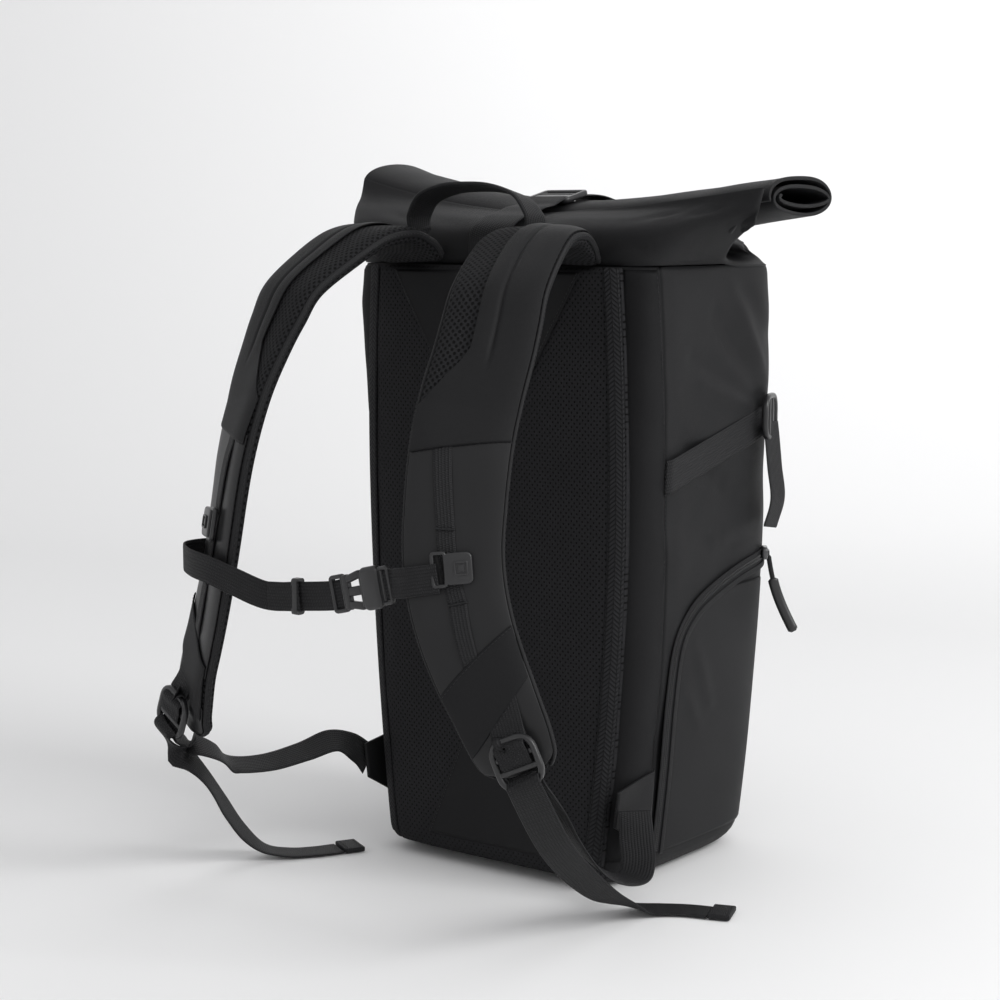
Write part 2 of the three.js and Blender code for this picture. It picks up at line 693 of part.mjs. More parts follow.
function buildShoulderStrap(side, label) {
  const put = (name, geometry, material) => {
    add(`${name}_${label}`, side > 0 ? geometry : mirrored(geometry), material);
  };
  const last = strapRows.length - 2;
  const strap = side > 0 ? rightStrap : leftStrap;
  put("shoulder_pad", strapPad(strap), meshBlack);
  const panelTop = LAYER_GAP + PANEL_THICKNESS;
  put("strap_panel", strapLayer(strap, [PANEL_FIRST_ROW, 15.9], [PANEL_FIRST_ROW, 13.6], 0.86, LAYER_GAP, panelTop, 11), smoothBlack);
  put("strap_patch", strapLayer(strap, [16, 17.9], [13.7, 15.8], 0.86, LAYER_GAP, LAYER_GAP + PATCH_THICKNESS, 8), clothBlack);
  put("strap_tip", strapLayer(strap, [18, last], [15.9, last], 0.8, LAYER_GAP, panelTop, 6), smoothBlack);
  put("rail_web", strapRail(strap), webBlack);
  const frame = lockFrame(strap);
  put("ladder_lock", seat(ladderLock(), frame.place, frame.across, frame.along), plasticBlack);
  put("adjuster_web", adjusterWeb(strap, frame), webBlack);
}

// Loose webbing, as shares of the reach. The a columns give the way its width runs.
const looseWebs = {
  lower_web_right: [
    { x: 1.6, y: -2.38, z: 1.01, ax: 0.95, ay: 0.1, az: 0.1 },
    { x: 1.56, y: -2.12, z: 0.79, ax: 0.9, ay: 0, az: -0.3 },
    { x: 1.52, y: -1.78, z: 0.51, ax: 0.87, ay: -0.1, az: -0.4 },
    { x: 1.49, y: -1.48, z: 0.34, ax: 0.9, ay: 0, az: -0.3 },
    { x: 1.47, y: -1.22, z: 0.27, ax: 0.9, ay: 0.2, az: -0.1 },
    { x: 1.4, y: -1.05, z: 0.33, ax: 0.85, ay: 0.45, az: 0 },
    { x: 1.33, y: -0.97, z: 0.47, ax: 0.79, ay: 0.61, az: 0 },
    { x: 1.285, y: -0.93, z: 0.66, ax: 0.5, ay: 0.85, az: 0 },
  ],
  tail_web_right: [
    { x: 1.61, y: -2.36, z: 0.8, ax: 0.85, ay: 0.2, az: 0.35 },
    { x: 1.55, y: -2, z: 0.5, ax: 0.8, ay: 0.3, az: 0.3 },
    { x: 1.51, y: -1.65, z: 0.26, ax: 0.85, ay: 0.2, az: 0.25 },
    { x: 1.48, y: -1.37, z: 0.12, ax: 0.9, ay: 0, az: 0.15 },
    { x: 1.51, y: -1.16, z: 0.035, ax: 0.8, ay: -0.5, az: 0 },
    { x: 1.6, y: -1.04, z: 0.018, ax: 0.62, ay: -0.78, az: 0 },
    { x: 1.74, y: -0.94, z: 0.014, ax: 0.5, ay: -0.85, az: 0 },
    { x: 1.9, y: -0.88, z: 0.014, ax: 0.36, ay: -0.93, az: 0 },
  ],
  lower_web_left: [
    { x: -1.5, y: -2.38, z: 0.96, ax: 0.8, ay: -0.4, az: -0.4 },
    { x: -1.55, y: -2.15, z: 0.81, ax: 0.85, ay: -0.45, az: -0.3 },
    { x: -1.48, y: -1.85, z: 0.77, ax: 0.9, ay: -0.35, az: -0.3 },
    { x: -1.38, y: -1.55, z: 0.81, ax: 0.9, ay: -0.35, az: -0.35 },
    { x: -1.3, y: -1.3, z: 0.86, ax: 0.8, ay: -0.3, az: -0.5 },
    { x: -1.24, y: -1.12, z: 0.78, ax: 0.4, ay: -0.2, az: -0.85 },
    { x: -1.228, y: -0.96, z: 0.65, ax: 0.05, ay: -0.2, az: -0.97 },
  ],
  tail_web_left: [
    { x: -1.56, y: -2.45, z: 0.8, ax: 0.7, ay: -0.6, az: -0.45 },
    { x: -1.59, y: -2.2, z: 0.49, ax: 0.63, ay: -0.62, az: -0.47 },
    { x: -1.62, y: -1.97, z: 0.23, ax: 0.66, ay: -0.65, az: -0.3 },
    { x: -1.56, y: -1.8, z: 0.07, ax: 0.69, ay: -0.72, az: 0 },
    { x: -1.44, y: -1.65, z: 0.022, ax: 0.72, ay: -0.69, az: 0 },
    { x: -1.32, y: -1.48, z: 0.014, ax: 0.82, ay: -0.57, az: 0 },
    { x: -1.23, y: -1.31, z: 0.014, ax: 0.88, ay: -0.47, az: 0 },
  ],
};

// The end of a loose web at its ladder lock, which lies in front of the lock's lower bar or behind it.
function webStart(name) {
  const left = name.endsWith("left");
  const frame = lockFrame(left ? leftStrap : rightStrap);
  const front = name.startsWith("tail");
  const place = frame.place.clone().addScaledVector(frame.along, LOCK_LENGTH / 2 + (front ? 1.8 : 2.6));
  place.addScaledVector(frame.out, front ? 2.4 : -3.6);
  const flip = left ? -1 : 1;
  const across = frame.across;
  return { x: flip * place.x, y: place.y, z: place.z, ax: across.x, ay: flip * across.y, az: flip * across.z };
}

function buildLooseWebs() {
  for (const [name, rows] of Object.entries(looseWebs)) {
    const scaled = rows.map((row) => ({ ...row, x: row.x * REACH, y: row.y * REACH, z: row.z * REACH }));
    scaled.unshift(webStart(name));
    add(name, band(scaled, 24, WEB_WIDTH, WEB_THICKNESS), webBlack);
    if (name.startsWith("tail")) {
      const end = scaled.at(-1);
      const before = scaled.at(-2);
      const along = vec(end.x - before.x, end.y - before.y, end.z - before.z).normalize();
      const turn = vec(end.ax, end.ay, end.az);
      const across = turn.addScaledVector(along, -turn.dot(along)).normalize();
      const hem = new THREE.BoxGeometry(WEB_WIDTH, HEM_LENGTH, HEM_THICKNESS);
      const place = vec(end.x, end.y, end.z).addScaledVector(along, HEM_LENGTH / 2 + 2 * GAP);
      place.z = Math.max(place.z, HEM_THICKNESS / 2 + HEM_LENGTH * 0.5 * Math.abs(along.z) + 0.2);
      add(name.replace("web", "end"), seat(hem, place, across, along), webBlack);
    }
  }
}

// Anchor wings: cloth tabs low on the side seams, which hold the loops of webbing
function buildAnchors() {
  const rootLow = 26;
  const rootHigh = 87;
  const tipLow = 54;
  const tipHigh = 80;
  const place = (u, v, lift) => {
    const z = mix(mix(rootLow, tipLow, v), mix(rootHigh, tipHigh, v), u);
    const root = sideSkinAt(-58, z, 0);
    return vec(root.x + 0.8 + lift, mix(-56, -104, v), z);
  };
  const wing = plate(place, 4, 3, 0, 2.6);
  add("anchor_tab_right", wing, clothBlack);
  add("anchor_tab_left", mirrored(wing), clothBlack);
}

// Sternum strap: two sliders on the rails, webbing and a side-release buckle
const sternumRightRows = [
  { x: 99, y: -290, z: 257 },
  { x: 88, y: -295, z: 255 },
  { x: 77, y: -294.5, z: 253 },
  { x: 69.4, y: -290, z: 251.3 },
];
const sternumLeftRows = [
  { x: 13.6, y: -289, z: 237.4 },
  { x: -16, y: -289, z: 234 },
  { x: -44, y: -291, z: 232 },
  { x: -70, y: -297, z: 240 },
  { x: -92, y: -299, z: 246 },
  { x: -115, y: -293, z: 248 },
  { x: -136, y: -279, z: 249 },
  { x: -141, y: -264, z: 249 },
  { x: -136, y: -250, z: 249 },
  { x: -125, y: -246.5, z: 249 },
  { x: -114, y: -252, z: 249 },
];

function sliderPlate() {
  const shape = roundedRectangle(new THREE.Shape(), -14, -11, 14, 11, 4);
  shape.holes.push(rectangle(-11, -8, -7, 8));
  shape.holes.push(rectangle(3, -4, 10, 4));
  return extruded(shape, 3.6);
}

function buildSternumStrap() {
  const upright = { ax: 0, ay: 0, az: 1 };
  const rightRows = sternumRightRows.map((row) => ({ ...row, ...upright }));
  const leftRows = sternumLeftRows.map((row) => ({ ...row, ...upright }));
  add("sternum_web_right", band(rightRows, 4, STERNUM_WEB, WEB_THICKNESS), webBlack);
  add("sternum_web_left", band(leftRows, 18, STERNUM_WEB, WEB_THICKNESS), webBlack);

  const seatOnStrap = (geometry, strap, row, across, lift) => {
    const frame = strapFrameAt(strap, row);
    return seat(geometry, onStrap(strap, row, across, lift), frame.across, frame.along);
  };
  const lift = LAYER_GAP + PANEL_THICKNESS + RAIL_THICKNESS + 2 * GAP + 1.9;
  add("sternum_slider_right", seatOnStrap(sliderPlate(), rightStrap, 13.4, 0, lift), plasticBlack);
  add("sternum_slider_left", mirrored(seatOnStrap(sliderPlate(), leftStrap, 12.8, 0, lift)), plasticBlack);

  const right = vec(69, -289, 251);
  const left = vec(13, -289, 237.5);
  const along = left.clone().sub(right).normalize();
  const out = vec(0, -1, 0);
  const across = out.clone().cross(along);
  const socketShape = roundedRectangle(
    new THREE.Shape(), -BUCKLE_WIDTH / 2, -BUCKLE_LENGTH / 2, BUCKLE_WIDTH / 2, BUCKLE_LENGTH / 2, 3);
  const socket = extruded(socketShape, BUCKLE_THICKNESS, 1.5);
  add("buckle_socket", seat(socket, right.clone().addScaledVector(along, 14), across, along), plasticBlack);
  const plugShape = roundedRectangle(new THREE.Shape(), -13, -14, 13, 14, 3);
  plugShape.holes.push(rectangle(-10, 5, 10, 9));
  const plug = extruded(plugShape, 6, 1);
  add("buckle_plug", seat(plug, left.clone().addScaledVector(along, -16.8), across, along), plasticBlack);

  const keeperShape = roundedRectangle(new THREE.Shape(), -13, -4, 13, 4, 2);
  keeperShape.holes.push(rectangle(-10.6, -1.3, 10.6, 1.3));
  const keeper = extruded(keeperShape, 5, 0.5);
  add("sternum_keeper", seat(keeper, vec(-16, -289, 234), vec(0, 0, 1), vec(0, -1, 0)), plasticBlack);
}

// Grab handle: a loop of webbing that stands on the strap roots
function buildHandle() {
  const root = onStrap(rightStrap, 2, -0.52, 6.2);
  const shares = [
    { side: 1, rise: 0, width: 1 },
    { side: 0.97, rise: 0.35, width: 0.9 },
    { side: 0.78, rise: 0.75, width: 0.9 },
    { side: 0.4, rise: 0.96, width: 0.9 },
    { side: 0, rise: 1, width: 0.9 },
  ];
  const half = shares.map((row) => ({
    x: row.side * root.x,
    y: root.y - 4 * row.rise,
    z: root.z + row.rise * HANDLE_RISE,
    ax: 0,
    ay: -0.9,
    az: row.rise === 0 ? 0.45 : 0.2,
  }));
  const rows = [...half, ...half.slice(0, -1).reverse().map((row) => ({ ...row, x: -row.x }))];
  add("handle", band(rows, 24, WEB_WIDTH, 3), webBlack);
}

// Side straps: webbing over the side to a lock on the front corner, with a hanging end
function sideStrap() {
  const first = -0.22;
  const last = 1.02;
  const lengths = [];
  let travelled = 0;
  const count = 16;
  for (let k = 0; k <= count; k++) {
    const angle = mix(first, last, k / count);
    const here = sideSkin(angle, SIDE_STRAP_Z, 0);
    if (k > 0) {
      travelled += here.distanceTo(sideSkin(mix(first, last, (k - 1) / count), SIDE_STRAP_Z, 0));
    }
    lengths.push(travelled);
  }
  const place = (u, v, lift) => {
    const k = Math.round(u * count);
    const z = SIDE_STRAP_Z + SIDE_STRAP_SLOPE * lengths[k] + mix(-WEB_WIDTH / 2, WEB_WIDTH / 2, v);
    return sideSkin(mix(first, last, u), z, lift);
  };
  return plate(place, count, 1, 0.5, 0.5 + WEB_THICKNESS);
}

function buildSideStraps() {
  const strap = sideStrap();
  const lockZ = 342;
  const corner = sideSkin(0.98, lockZ, 7.1);
  const turn = vec(0.62, 0.78, 0).normalize();
  const across = vec(0, 0, 1);
  const along = across.clone().cross(turn);
  const lock = seat(ladderLock(), corner, across, along);
  const tailRows = [
    { x: corner.x + 3.4, y: corner.y + 3.4, z: lockZ - 12 },
    { x: corner.x + 6, y: corner.y + 5, z: lockZ - 40 },
    { x: corner.x + 4, y: corner.y + 5, z: lockZ - 66 },
    { x: corner.x + 8, y: corner.y + 4, z: lockZ - 92 },
  ].map((row) => ({ ...row, ax: -0.7, ay: 0.7, az: 0 }));
  const tail = band(tailRows, 8, WEB_WIDTH, WEB_THICKNESS);
  for (const [label, shape] of [["right", (g) => g], ["left", mirrored]]) {
    add(`side_strap_${label}`, shape(strap), webBlack);
    add(`side_lock_${label}`, shape(lock), plasticBlack);
    add(`side_tail_${label}`, shape(tail), webBlack);
  }
}

// Side pocket: a curved zip over a cloth door on the right side
const zipRows = [
  { y: -45, z: 19 },
  { y: -42.5, z: 76 },
  { y: -41.5, z: 137 },
  { y: -36, z: 178 },
  { y: -19, z: 200 },
  { y: 7, z: 213 },
  { y: 48, z: 225 },
  { y: 88, z: 231 },
];

function zipLine(count) {
  const curve = new THREE.CatmullRomCurve3(zipRows.map((row) => vec(0, row.y, row.z)), false, "centripetal");
  return curve.getPoints(count);
}

function buildSidePocket() {
  const count = 26;
  const line = zipLine(count);
  const bandPlace = (u, v, lift) => {
    const k = Math.round(v * count);
    const along = line[Math.min(count, k + 1)].clone().sub(line[Math.max(0, k - 1)]).normalize();
    const offset = mix(-ZIP_BAND_WIDTH / 2, ZIP_BAND_WIDTH / 2, u);
    return sideSkinAt(line[k].y - along.z * offset, line[k].z + along.y * offset, lift);
  };
  add("zip_band", plate(bandPlace, 2, count, 0.4, 0.4 + ZIP_BAND_THICKNESS), clothBlack);

  const doorTop = 212;
  const doorBase = 20;
  const edgeAt = (z) => {
    const k = line.findIndex((p) => p.z > z);
    const share = (z - line[k - 1].z) / (line[k].z - line[k - 1].z);
    return mix(line[k - 1].y, line[k].y, share);
  };
  const doorPlace = (u, v, lift) => {
    const z = mix(doorBase, doorTop, v ** 0.75);
    const first = edgeAt(z) + ZIP_BAND_WIDTH * mix(0.6, 2.2, v ** 3);
    return sideSkinAt(mix(first, 84, Math.sin((u * Math.PI) / 2)), z, lift);
  };
  add("side_door", plate(doorPlace, 9, 8, 0.8, 0.8 + DOOR_THICKNESS), clothBlack);

  const end = sideSkinAt(88, 231, 8);
  const slider = new THREE.BoxGeometry(9, 6, 16);
  slider.rotateZ(0.75);
  slider.translate(end.x, end.y, end.z);
  add("zip_slider", slider, metalDark);
  const pullRows = [
    { x: end.x + 2.5, y: end.y + 3, z: end.z - 8.8 },
    { x: end.x + 9, y: end.y + 9, z: end.z - 36 },
    { x: end.x + 20, y: end.y + 11, z: end.z - 62 },
  ].map((row) => ({ ...row, ax: 0.7, ay: 0.7, az: 0.2 }));
  add("zip_pull", band(pullRows, 6, 7, 2.4), webBlack);
}

buildBody();
buildBackPanel();
buildCollar();
buildRoll();
buildClosure();
buildShoulderStrap(1, "right");
buildShoulderStrap(-1, "left");
buildLooseWebs();
buildAnchors();
buildSternumStrap();
buildHandle();
buildSideStraps();
buildSidePocket();

export default pack;
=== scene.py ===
import logging
import math
from collections.abc import Callable, Sequence
from dataclasses import dataclass, field
from enum import Enum

import bmesh
import bpy
import numpy as np
from mathutils import Matrix, Vector


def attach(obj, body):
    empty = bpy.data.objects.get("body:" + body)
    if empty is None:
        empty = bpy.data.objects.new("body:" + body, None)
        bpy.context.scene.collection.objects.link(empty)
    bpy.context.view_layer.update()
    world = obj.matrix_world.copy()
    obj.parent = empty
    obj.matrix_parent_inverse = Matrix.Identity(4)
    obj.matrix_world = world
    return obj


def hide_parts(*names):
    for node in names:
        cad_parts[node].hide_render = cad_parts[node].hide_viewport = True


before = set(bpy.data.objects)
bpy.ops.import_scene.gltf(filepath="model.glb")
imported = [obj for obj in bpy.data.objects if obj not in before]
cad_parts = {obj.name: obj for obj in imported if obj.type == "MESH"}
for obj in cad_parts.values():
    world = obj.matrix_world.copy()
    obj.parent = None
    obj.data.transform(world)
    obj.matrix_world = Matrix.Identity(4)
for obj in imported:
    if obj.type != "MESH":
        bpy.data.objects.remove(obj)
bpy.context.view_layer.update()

# Lengths below are millimetres; meshes and materials get metres.
MM = 0.001
Array = np.ndarray
log = logging.getLogger("backpack")


class Side(Enum):
    """The wearer's sides, each with the sign of its x."""

    RIGHT = 1
    LEFT = -1

    @property
    def label(self) -> str:
        """The side's name as the frame's nodes end with it."""
        return self.name.lower()


class Pattern(Enum):
    """What the surface of a finish is made of."""

    WEAVE = "weave"
    RIBS = "ribs"
    HOLES = "holes"
    CHEVRON = "chevron"
    SMOOTH = "smooth"


@dataclass(frozen=True)
class Finish:
    """One finish: its colour, gloss and surface pattern.

    pitch is the pattern's repeat across and along, and hole the share of it that a hole takes.
    """

    name: str
    slot: str
    colour: float
    roughness: float
    pattern: Pattern
    pitch: tuple[float, float] = (0.6, 0.6)
    hole: float = 0.0
    depth: float = 0.1
    specular: float = 0.5
    coat: float = 0.0
    mottle: float = 0.2


NYLON = Finish("pack_nylon", "nylon", 0.0095, 0.58, Pattern.WEAVE, (0.9, 0.9), depth=0.14, specular=0.18)
# A darker, duller copy of the pack nylon: painted shade for the gussets, which face away from the light.
GUSSET_SHADE = Finish("gusset_nylon", "nylon", 0.0078, 0.66, Pattern.WEAVE, (0.9, 0.9), depth=0.10, specular=0.13)
FACING = Finish("facing_nylon", "nylon", 0.0095, 0.62, Pattern.WEAVE, (0.8, 0.8), depth=0.06, specular=0.16)
BACK_MESH = Finish(
    "back_air_mesh", "air_mesh", 0.0168, 0.8, Pattern.HOLES, (4.7, 5.2), hole=0.16, depth=0.5,
    specular=0.12)
STRAP_MESH = Finish(
    "strap_air_mesh", "air_mesh", 0.0155, 0.75, Pattern.HOLES, (4.8, 5.2), hole=0.25, depth=0.8,
    specular=0.12)
EDGE_MESH = Finish(
    "edge_air_mesh", "air_mesh", 0.0165, 0.75, Pattern.CHEVRON, (9.6, 3.4), depth=0.7, specular=0.14)
SMOOTH = Finish(
    "smooth_panel", "smooth_panel", 0.0095, 0.4, Pattern.SMOOTH, depth=0.02, specular=0.28, coat=0.03)
WEBBING = Finish(
    "ribbed_webbing", "webbing", 0.0125, 0.6, Pattern.RIBS, (2.2, 1.5), depth=0.45, specular=0.2)
THREAD = Finish("thread", "nylon", 0.018, 0.55, Pattern.SMOOTH, depth=0.01, specular=0.25)
PIPING = Finish("edge_binding", "nylon", 0.0125, 0.6, Pattern.RIBS, (1.0, 0.9), depth=0.15, specular=0.22)
TAPE = Finish("zip_tape", "zip_tape", 0.0105, 0.65, Pattern.WEAVE, (0.9, 0.7), depth=0.1, specular=0.18)
PLASTIC = Finish(
    "moulded_plastic", "black_plastic", 0.0125, 0.34, Pattern.SMOOTH, depth=0.03, specular=0.5, coat=0.1)
METAL = Finish("painted_metal", "dark_metal", 0.03, 0.3, Pattern.SMOOTH, depth=0.01, coat=0.4, specular=0.7)


# Small helpers for points and tables
def mix(low: Array | float, high: Array | float, share: Array | float) -> Array | float:
    """Goes from low to high as share goes from 0 to 1."""
    return low + (high - low) * share


def unit(vectors: Array) -> Array:
    """Scales each vector to length 1."""
    return vectors / np.maximum(np.linalg.norm(vectors, axis=-1, keepdims=True), 1e-9)


def through(low: float, mid: float, high: float, share: Array | float) -> Array | float:
    """A parabola through three values at shares 0, a half and 1."""
    rest = 1 - share
    return low * rest * (1 - 2 * share) + 4 * mid * share * rest + high * share * (2 * share - 1)


def power(values: Array, exponent: Array | float) -> Array:
    """Raises the sizes of the values to a power and keeps their signs."""
    return np.sign(values) * np.abs(values) ** exponent


def at_rows(table: Array, rows: Array) -> Array:
    """Reads a table at broken row numbers, on a smooth curve through its rows.

    Args:
        table: The rows, one below the other.
        rows: Row numbers, counted from 0.

    Returns:
        One interpolated row for each number.
    """
    rows = np.asarray(rows, float)
    low = np.clip(np.floor(rows).astype(int), 0, len(table) - 2)
    share = (rows - low)[..., None]
    ends = np.vstack([2 * table[0] - table[1], table, 2 * table[-1] - table[-2]])
    a, b, c, d = (ends[low + step] for step in range(4))
    bend = 2 * a - 5 * b + 4 * c - d
    twist = 3 * b - a - 3 * c + d
    return 0.5 * (2 * b + (c - a) * share + bend * share**2 + twist * share**3)


def crowded(count: int) -> Array:
    """Numbers from -1 to 1 that lie closer together at both ends."""
    return np.sin(np.linspace(-1, 1, count) * math.pi / 2)


def mirrored(grid: Array) -> Array:
    """A grid on the other side, with its faces kept the same way out."""
    return grid[:, ::-1] * [-1, 1, 1]


def travelled_along(line: Array) -> Array:
    """How far each point of a line lies from its first one, along it."""
    return np.concatenate([[0], np.cumsum(np.linalg.norm(np.diff(line, axis=0), axis=1))])


def read_along(wanted: Array, travelled: Array, values: Array) -> Array:
    """Reads a line's values at the wanted distances along it."""
    return np.stack([np.interp(wanted, travelled, column) for column in values.T], axis=1)


def normals_of(grid: Array) -> Array:
    """The normals of a grid of points, along its columns crossed with its rows."""
    return unit(np.cross(np.gradient(grid, axis=1), np.gradient(grid, axis=0)))


def lengths_of(grid: Array) -> Array:
    """Flat coordinates of a grid: distances along its rows from the middle, and along its columns.

    Args:
        grid: Points, in rows and columns.

    Returns:
        Both distances at each point.
    """
    across = np.linalg.norm(np.diff(grid, axis=1), axis=2)
    across = np.hstack([np.zeros((len(grid), 1)), np.cumsum(across, axis=1)])
    across -= across[:, across.shape[1] // 2][:, None]
    along = travelled_along(grid[:, grid.shape[1] // 2])
    return np.dstack([across, np.broadcast_to(along[:, None], across.shape)])


def crease(grid: Array, start: Sequence[float], end: Sequence[float], width: float, depth: float) -> Array:
    """The depth at each grid point of a soft fold that runs between two places.

    Args:
        grid: Points.
        start: Where the fold starts.
        end: Where it ends.
        width: Its half width.
        depth: Its depth, or its height where negative.

    Returns:
        How far to push each point in.
    """
    first, last = np.asarray(start, float), np.asarray(end, float)
    line = last - first
    share = np.clip(((grid - first) @ line) / (line @ line), 0, 1)
    distance = np.linalg.norm(grid - first - share[..., None] * line, axis=-1)
    swell = 0.35 + 0.65 * np.sin(math.pi * np.clip(share, 0.12, 0.88))
    return depth * np.exp(-((distance / width) ** 2)) * swell


def ripple(grid: Array, seed: int, size: float, height: float) -> Array:
    """A smooth unevenness, from a few seeded waves.

    Args:
        grid: Points.
        seed: The seed of the waves.
        size: Their length.
        height: Their height.

    Returns:
        The unevenness at each point.
    """
    random = np.random.default_rng(seed)
    total = np.zeros(grid.shape[:-1])
    for _ in range(9):
        way = random.normal(size=3)
        way *= 2 * math.pi / (size * np.linalg.norm(way) * random.uniform(0.6, 1.6))
        total += np.sin(grid @ way + random.uniform(0, 2 * math.pi))
    return total * height / 3


# Meshes from grids of points
def mesh_object(name: str, points: Array, faces: list, flat: Array | None = None,
                flat_faces: list | None = None) -> bpy.types.Object:
    """Makes a smooth-shaded mesh.

    Args:
        name: The object's name.
        points: Its vertices in millimetres.
        faces: Vertex numbers of each face.
        flat: Flat coordinates in millimetres, or None.
        flat_faces: For each face, which flat coordinates its corners take.

    Returns:
        The new object.
    """
    data = bpy.data.meshes.new(name)
    data.from_pydata((points * MM).tolist(), [], faces)
    if flat is not None:
        layer = data.uv_layers.new(name="UVMap")
        numbers = np.concatenate([np.asarray(face) for face in flat_faces])
        layer.data.foreach_set("uv", (flat[numbers] * MM).ravel())
    data.polygons.foreach_set("use_smooth", [True] * len(data.polygons))
    data.validate()
    made = bpy.data.objects.new(name, data)
    bpy.context.scene.collection.objects.link(made)
    return made


def two_sided(index: Array, under: Array) -> tuple[list, list]:
    """The faces of a sheet's two sides.

    Args:
        index: The upper side's vertex numbers, in rows and columns.
        under: The lower side's.

    Returns:
        The vertex numbers of each face, and for each the numbers of its flat coordinates.
    """
    faces = []
    flats = []
    for r in range(index.shape[0] - 1):
        for c in range(index.shape[1] - 1):
            corners = ((r, c), (r, c + 1), (r + 1, c + 1), (r + 1, c))
            here = [index[k] for k in corners]
            faces += [here, [under[k] for k in reversed(corners)]]
            flats += [here, here[::-1]]
    return faces, flats


def sheet_object(name: str, grid: Array, thickness: float, flat: Array | None = None) -> bpy.types.Object:
    """Makes a closed sheet with rounded edges from a grid that is its middle surface.

    Args:
        name: The object's name.
        grid: Points, in rows and columns.
        thickness: The sheet's thickness.
        flat: Flat coordinates, or None to measure them.

    Returns:
        The new object.
    """
    rows, columns, _ = grid.shape
    normals = normals_of(grid)
    flat = lengths_of(grid) if flat is None else flat
    edge_u = np.ones(columns)
    edge_u[[0, -1]] = 0
    edge_u[[1, -2]] = 0.75
    edge_v = np.ones(rows)
    edge_v[[0, -1]] = 0
    swell = (edge_u[None, :] * edge_v[:, None])[..., None] * thickness / 2
    top = (grid + normals * swell).reshape(-1, 3)
    low = (grid - normals * swell).reshape(-1, 3)
    index = np.arange(rows * columns).reshape(rows, columns)
    under = index + rows * columns
    under[[0, -1], :] = index[[0, -1], :]
    under[:, [0, -1]] = index[:, [0, -1]]
    faces, flats = two_sided(index, under)
    made = mesh_object(name, np.vstack([top, low]), faces, flat.reshape(-1, 2), flats)
    return tidied(made)


def tidied(made: bpy.types.Object) -> bpy.types.Object:
    """Merges a mesh's doubles and drops its loose points.

    Args:
        made: The object.

    Returns:
        The same object.
    """
    work = bmesh.new()
    work.from_mesh(made.data)
    bmesh.ops.remove_doubles(work, verts=work.verts, dist=0.01 * MM)
    loose = [vertex for vertex in work.verts if not vertex.link_faces]
    bmesh.ops.delete(work, geom=loose, context="VERTS")
    work.to_mesh(made.data)
    work.free()
    return made


def loft_object(name: str, rings: Array, flat: Array | None = None) -> bpy.types.Object:
    """Makes a closed body from rings of points, with its first and last ring closed by a fan.

    Args:
        name: The object's name.
        rings: Points, a ring in each row, anticlockwise seen from the last ring.
        flat: Flat coordinates of the rings, with one more column than they have, or None to measure them.

    Returns:
        The new object.
    """
    count, size, _ = rings.shape
    closed = np.concatenate([rings, rings[:, :1]], axis=1)
    flat = lengths_of(closed) if flat is None else flat
    points = np.vstack([rings.reshape(-1, 3), rings[0].mean(axis=0), rings[-1].mean(axis=0)])
    flats = np.vstack([flat.reshape(-1, 2), flat[0].mean(axis=0), flat[-1].mean(axis=0)])
    faces = []
    flat_faces = []
    wide = size + 1
    for r in range(count - 1):
        for c in range(size):
            d = (c + 1) % size
            faces.append([r * size + c, r * size + d, (r + 1) * size + d, (r + 1) * size + c])
            flat_faces.append([r * wide + c, r * wide + c + 1, (r + 1) * wide + c + 1, (r + 1) * wide + c])
    low, high = count * size, count * size + 1
    for c in range(size):
        d = (c + 1) % size
        faces.append([d, c, low])
        flat_faces.append([c + 1, c, count * wide])
        faces.append([(count - 1) * size + c, (count - 1) * size + d, high])
        flat_faces.append([(count - 1) * wide + c, (count - 1) * wide + c + 1, count * wide + 1])
    return mesh_object(name, points, faces, flats, flat_faces)


def tube_object(name: str, line: Array, radius: float, up: Array | None = None, squash: float = 1.0,
                ) -> bpy.types.Object:
    """Makes a closed round cord along a line.

    Args:
        name: The object's name.
        line: Points of its middle.
        radius: Its radius.
        up: A vector at each point that its flat side faces, or None.
        squash: Its thickness along up, as a share of its width.

    Returns:
        The new object.
    """
    along = unit(np.gradient(line, axis=0))
    raised = np.broadcast_to(np.array([0.0, 0.0, 1.0]), line.shape) if up is None else up
    side = unit(np.cross(along, raised))
    over = np.cross(side, along)
    turns = (np.arange(8) / 8 * 2 * math.pi)[None, :, None]
    ring = side[:, None] * np.cos(turns) + over[:, None] * np.sin(turns) * squash
    ends = np.ones(len(line))
    ends[[0, -1]] = 0.5
    return outward(loft_object(name, line[:, None] + ring * radius * ends[:, None, None]))


def outward(made: bpy.types.Object) -> bpy.types.Object:
    """Turns a closed mesh's faces outwards.

    Args:
        made: The object.

    Returns:
        The same object, with its doubles merged.
    """
    work = bmesh.new()
    work.from_mesh(made.data)
    bmesh.ops.remove_doubles(work, verts=work.verts, dist=0.005 * MM)
    bmesh.ops.recalc_face_normals(work, faces=work.faces)
    work.to_mesh(made.data)
    work.free()
    return made


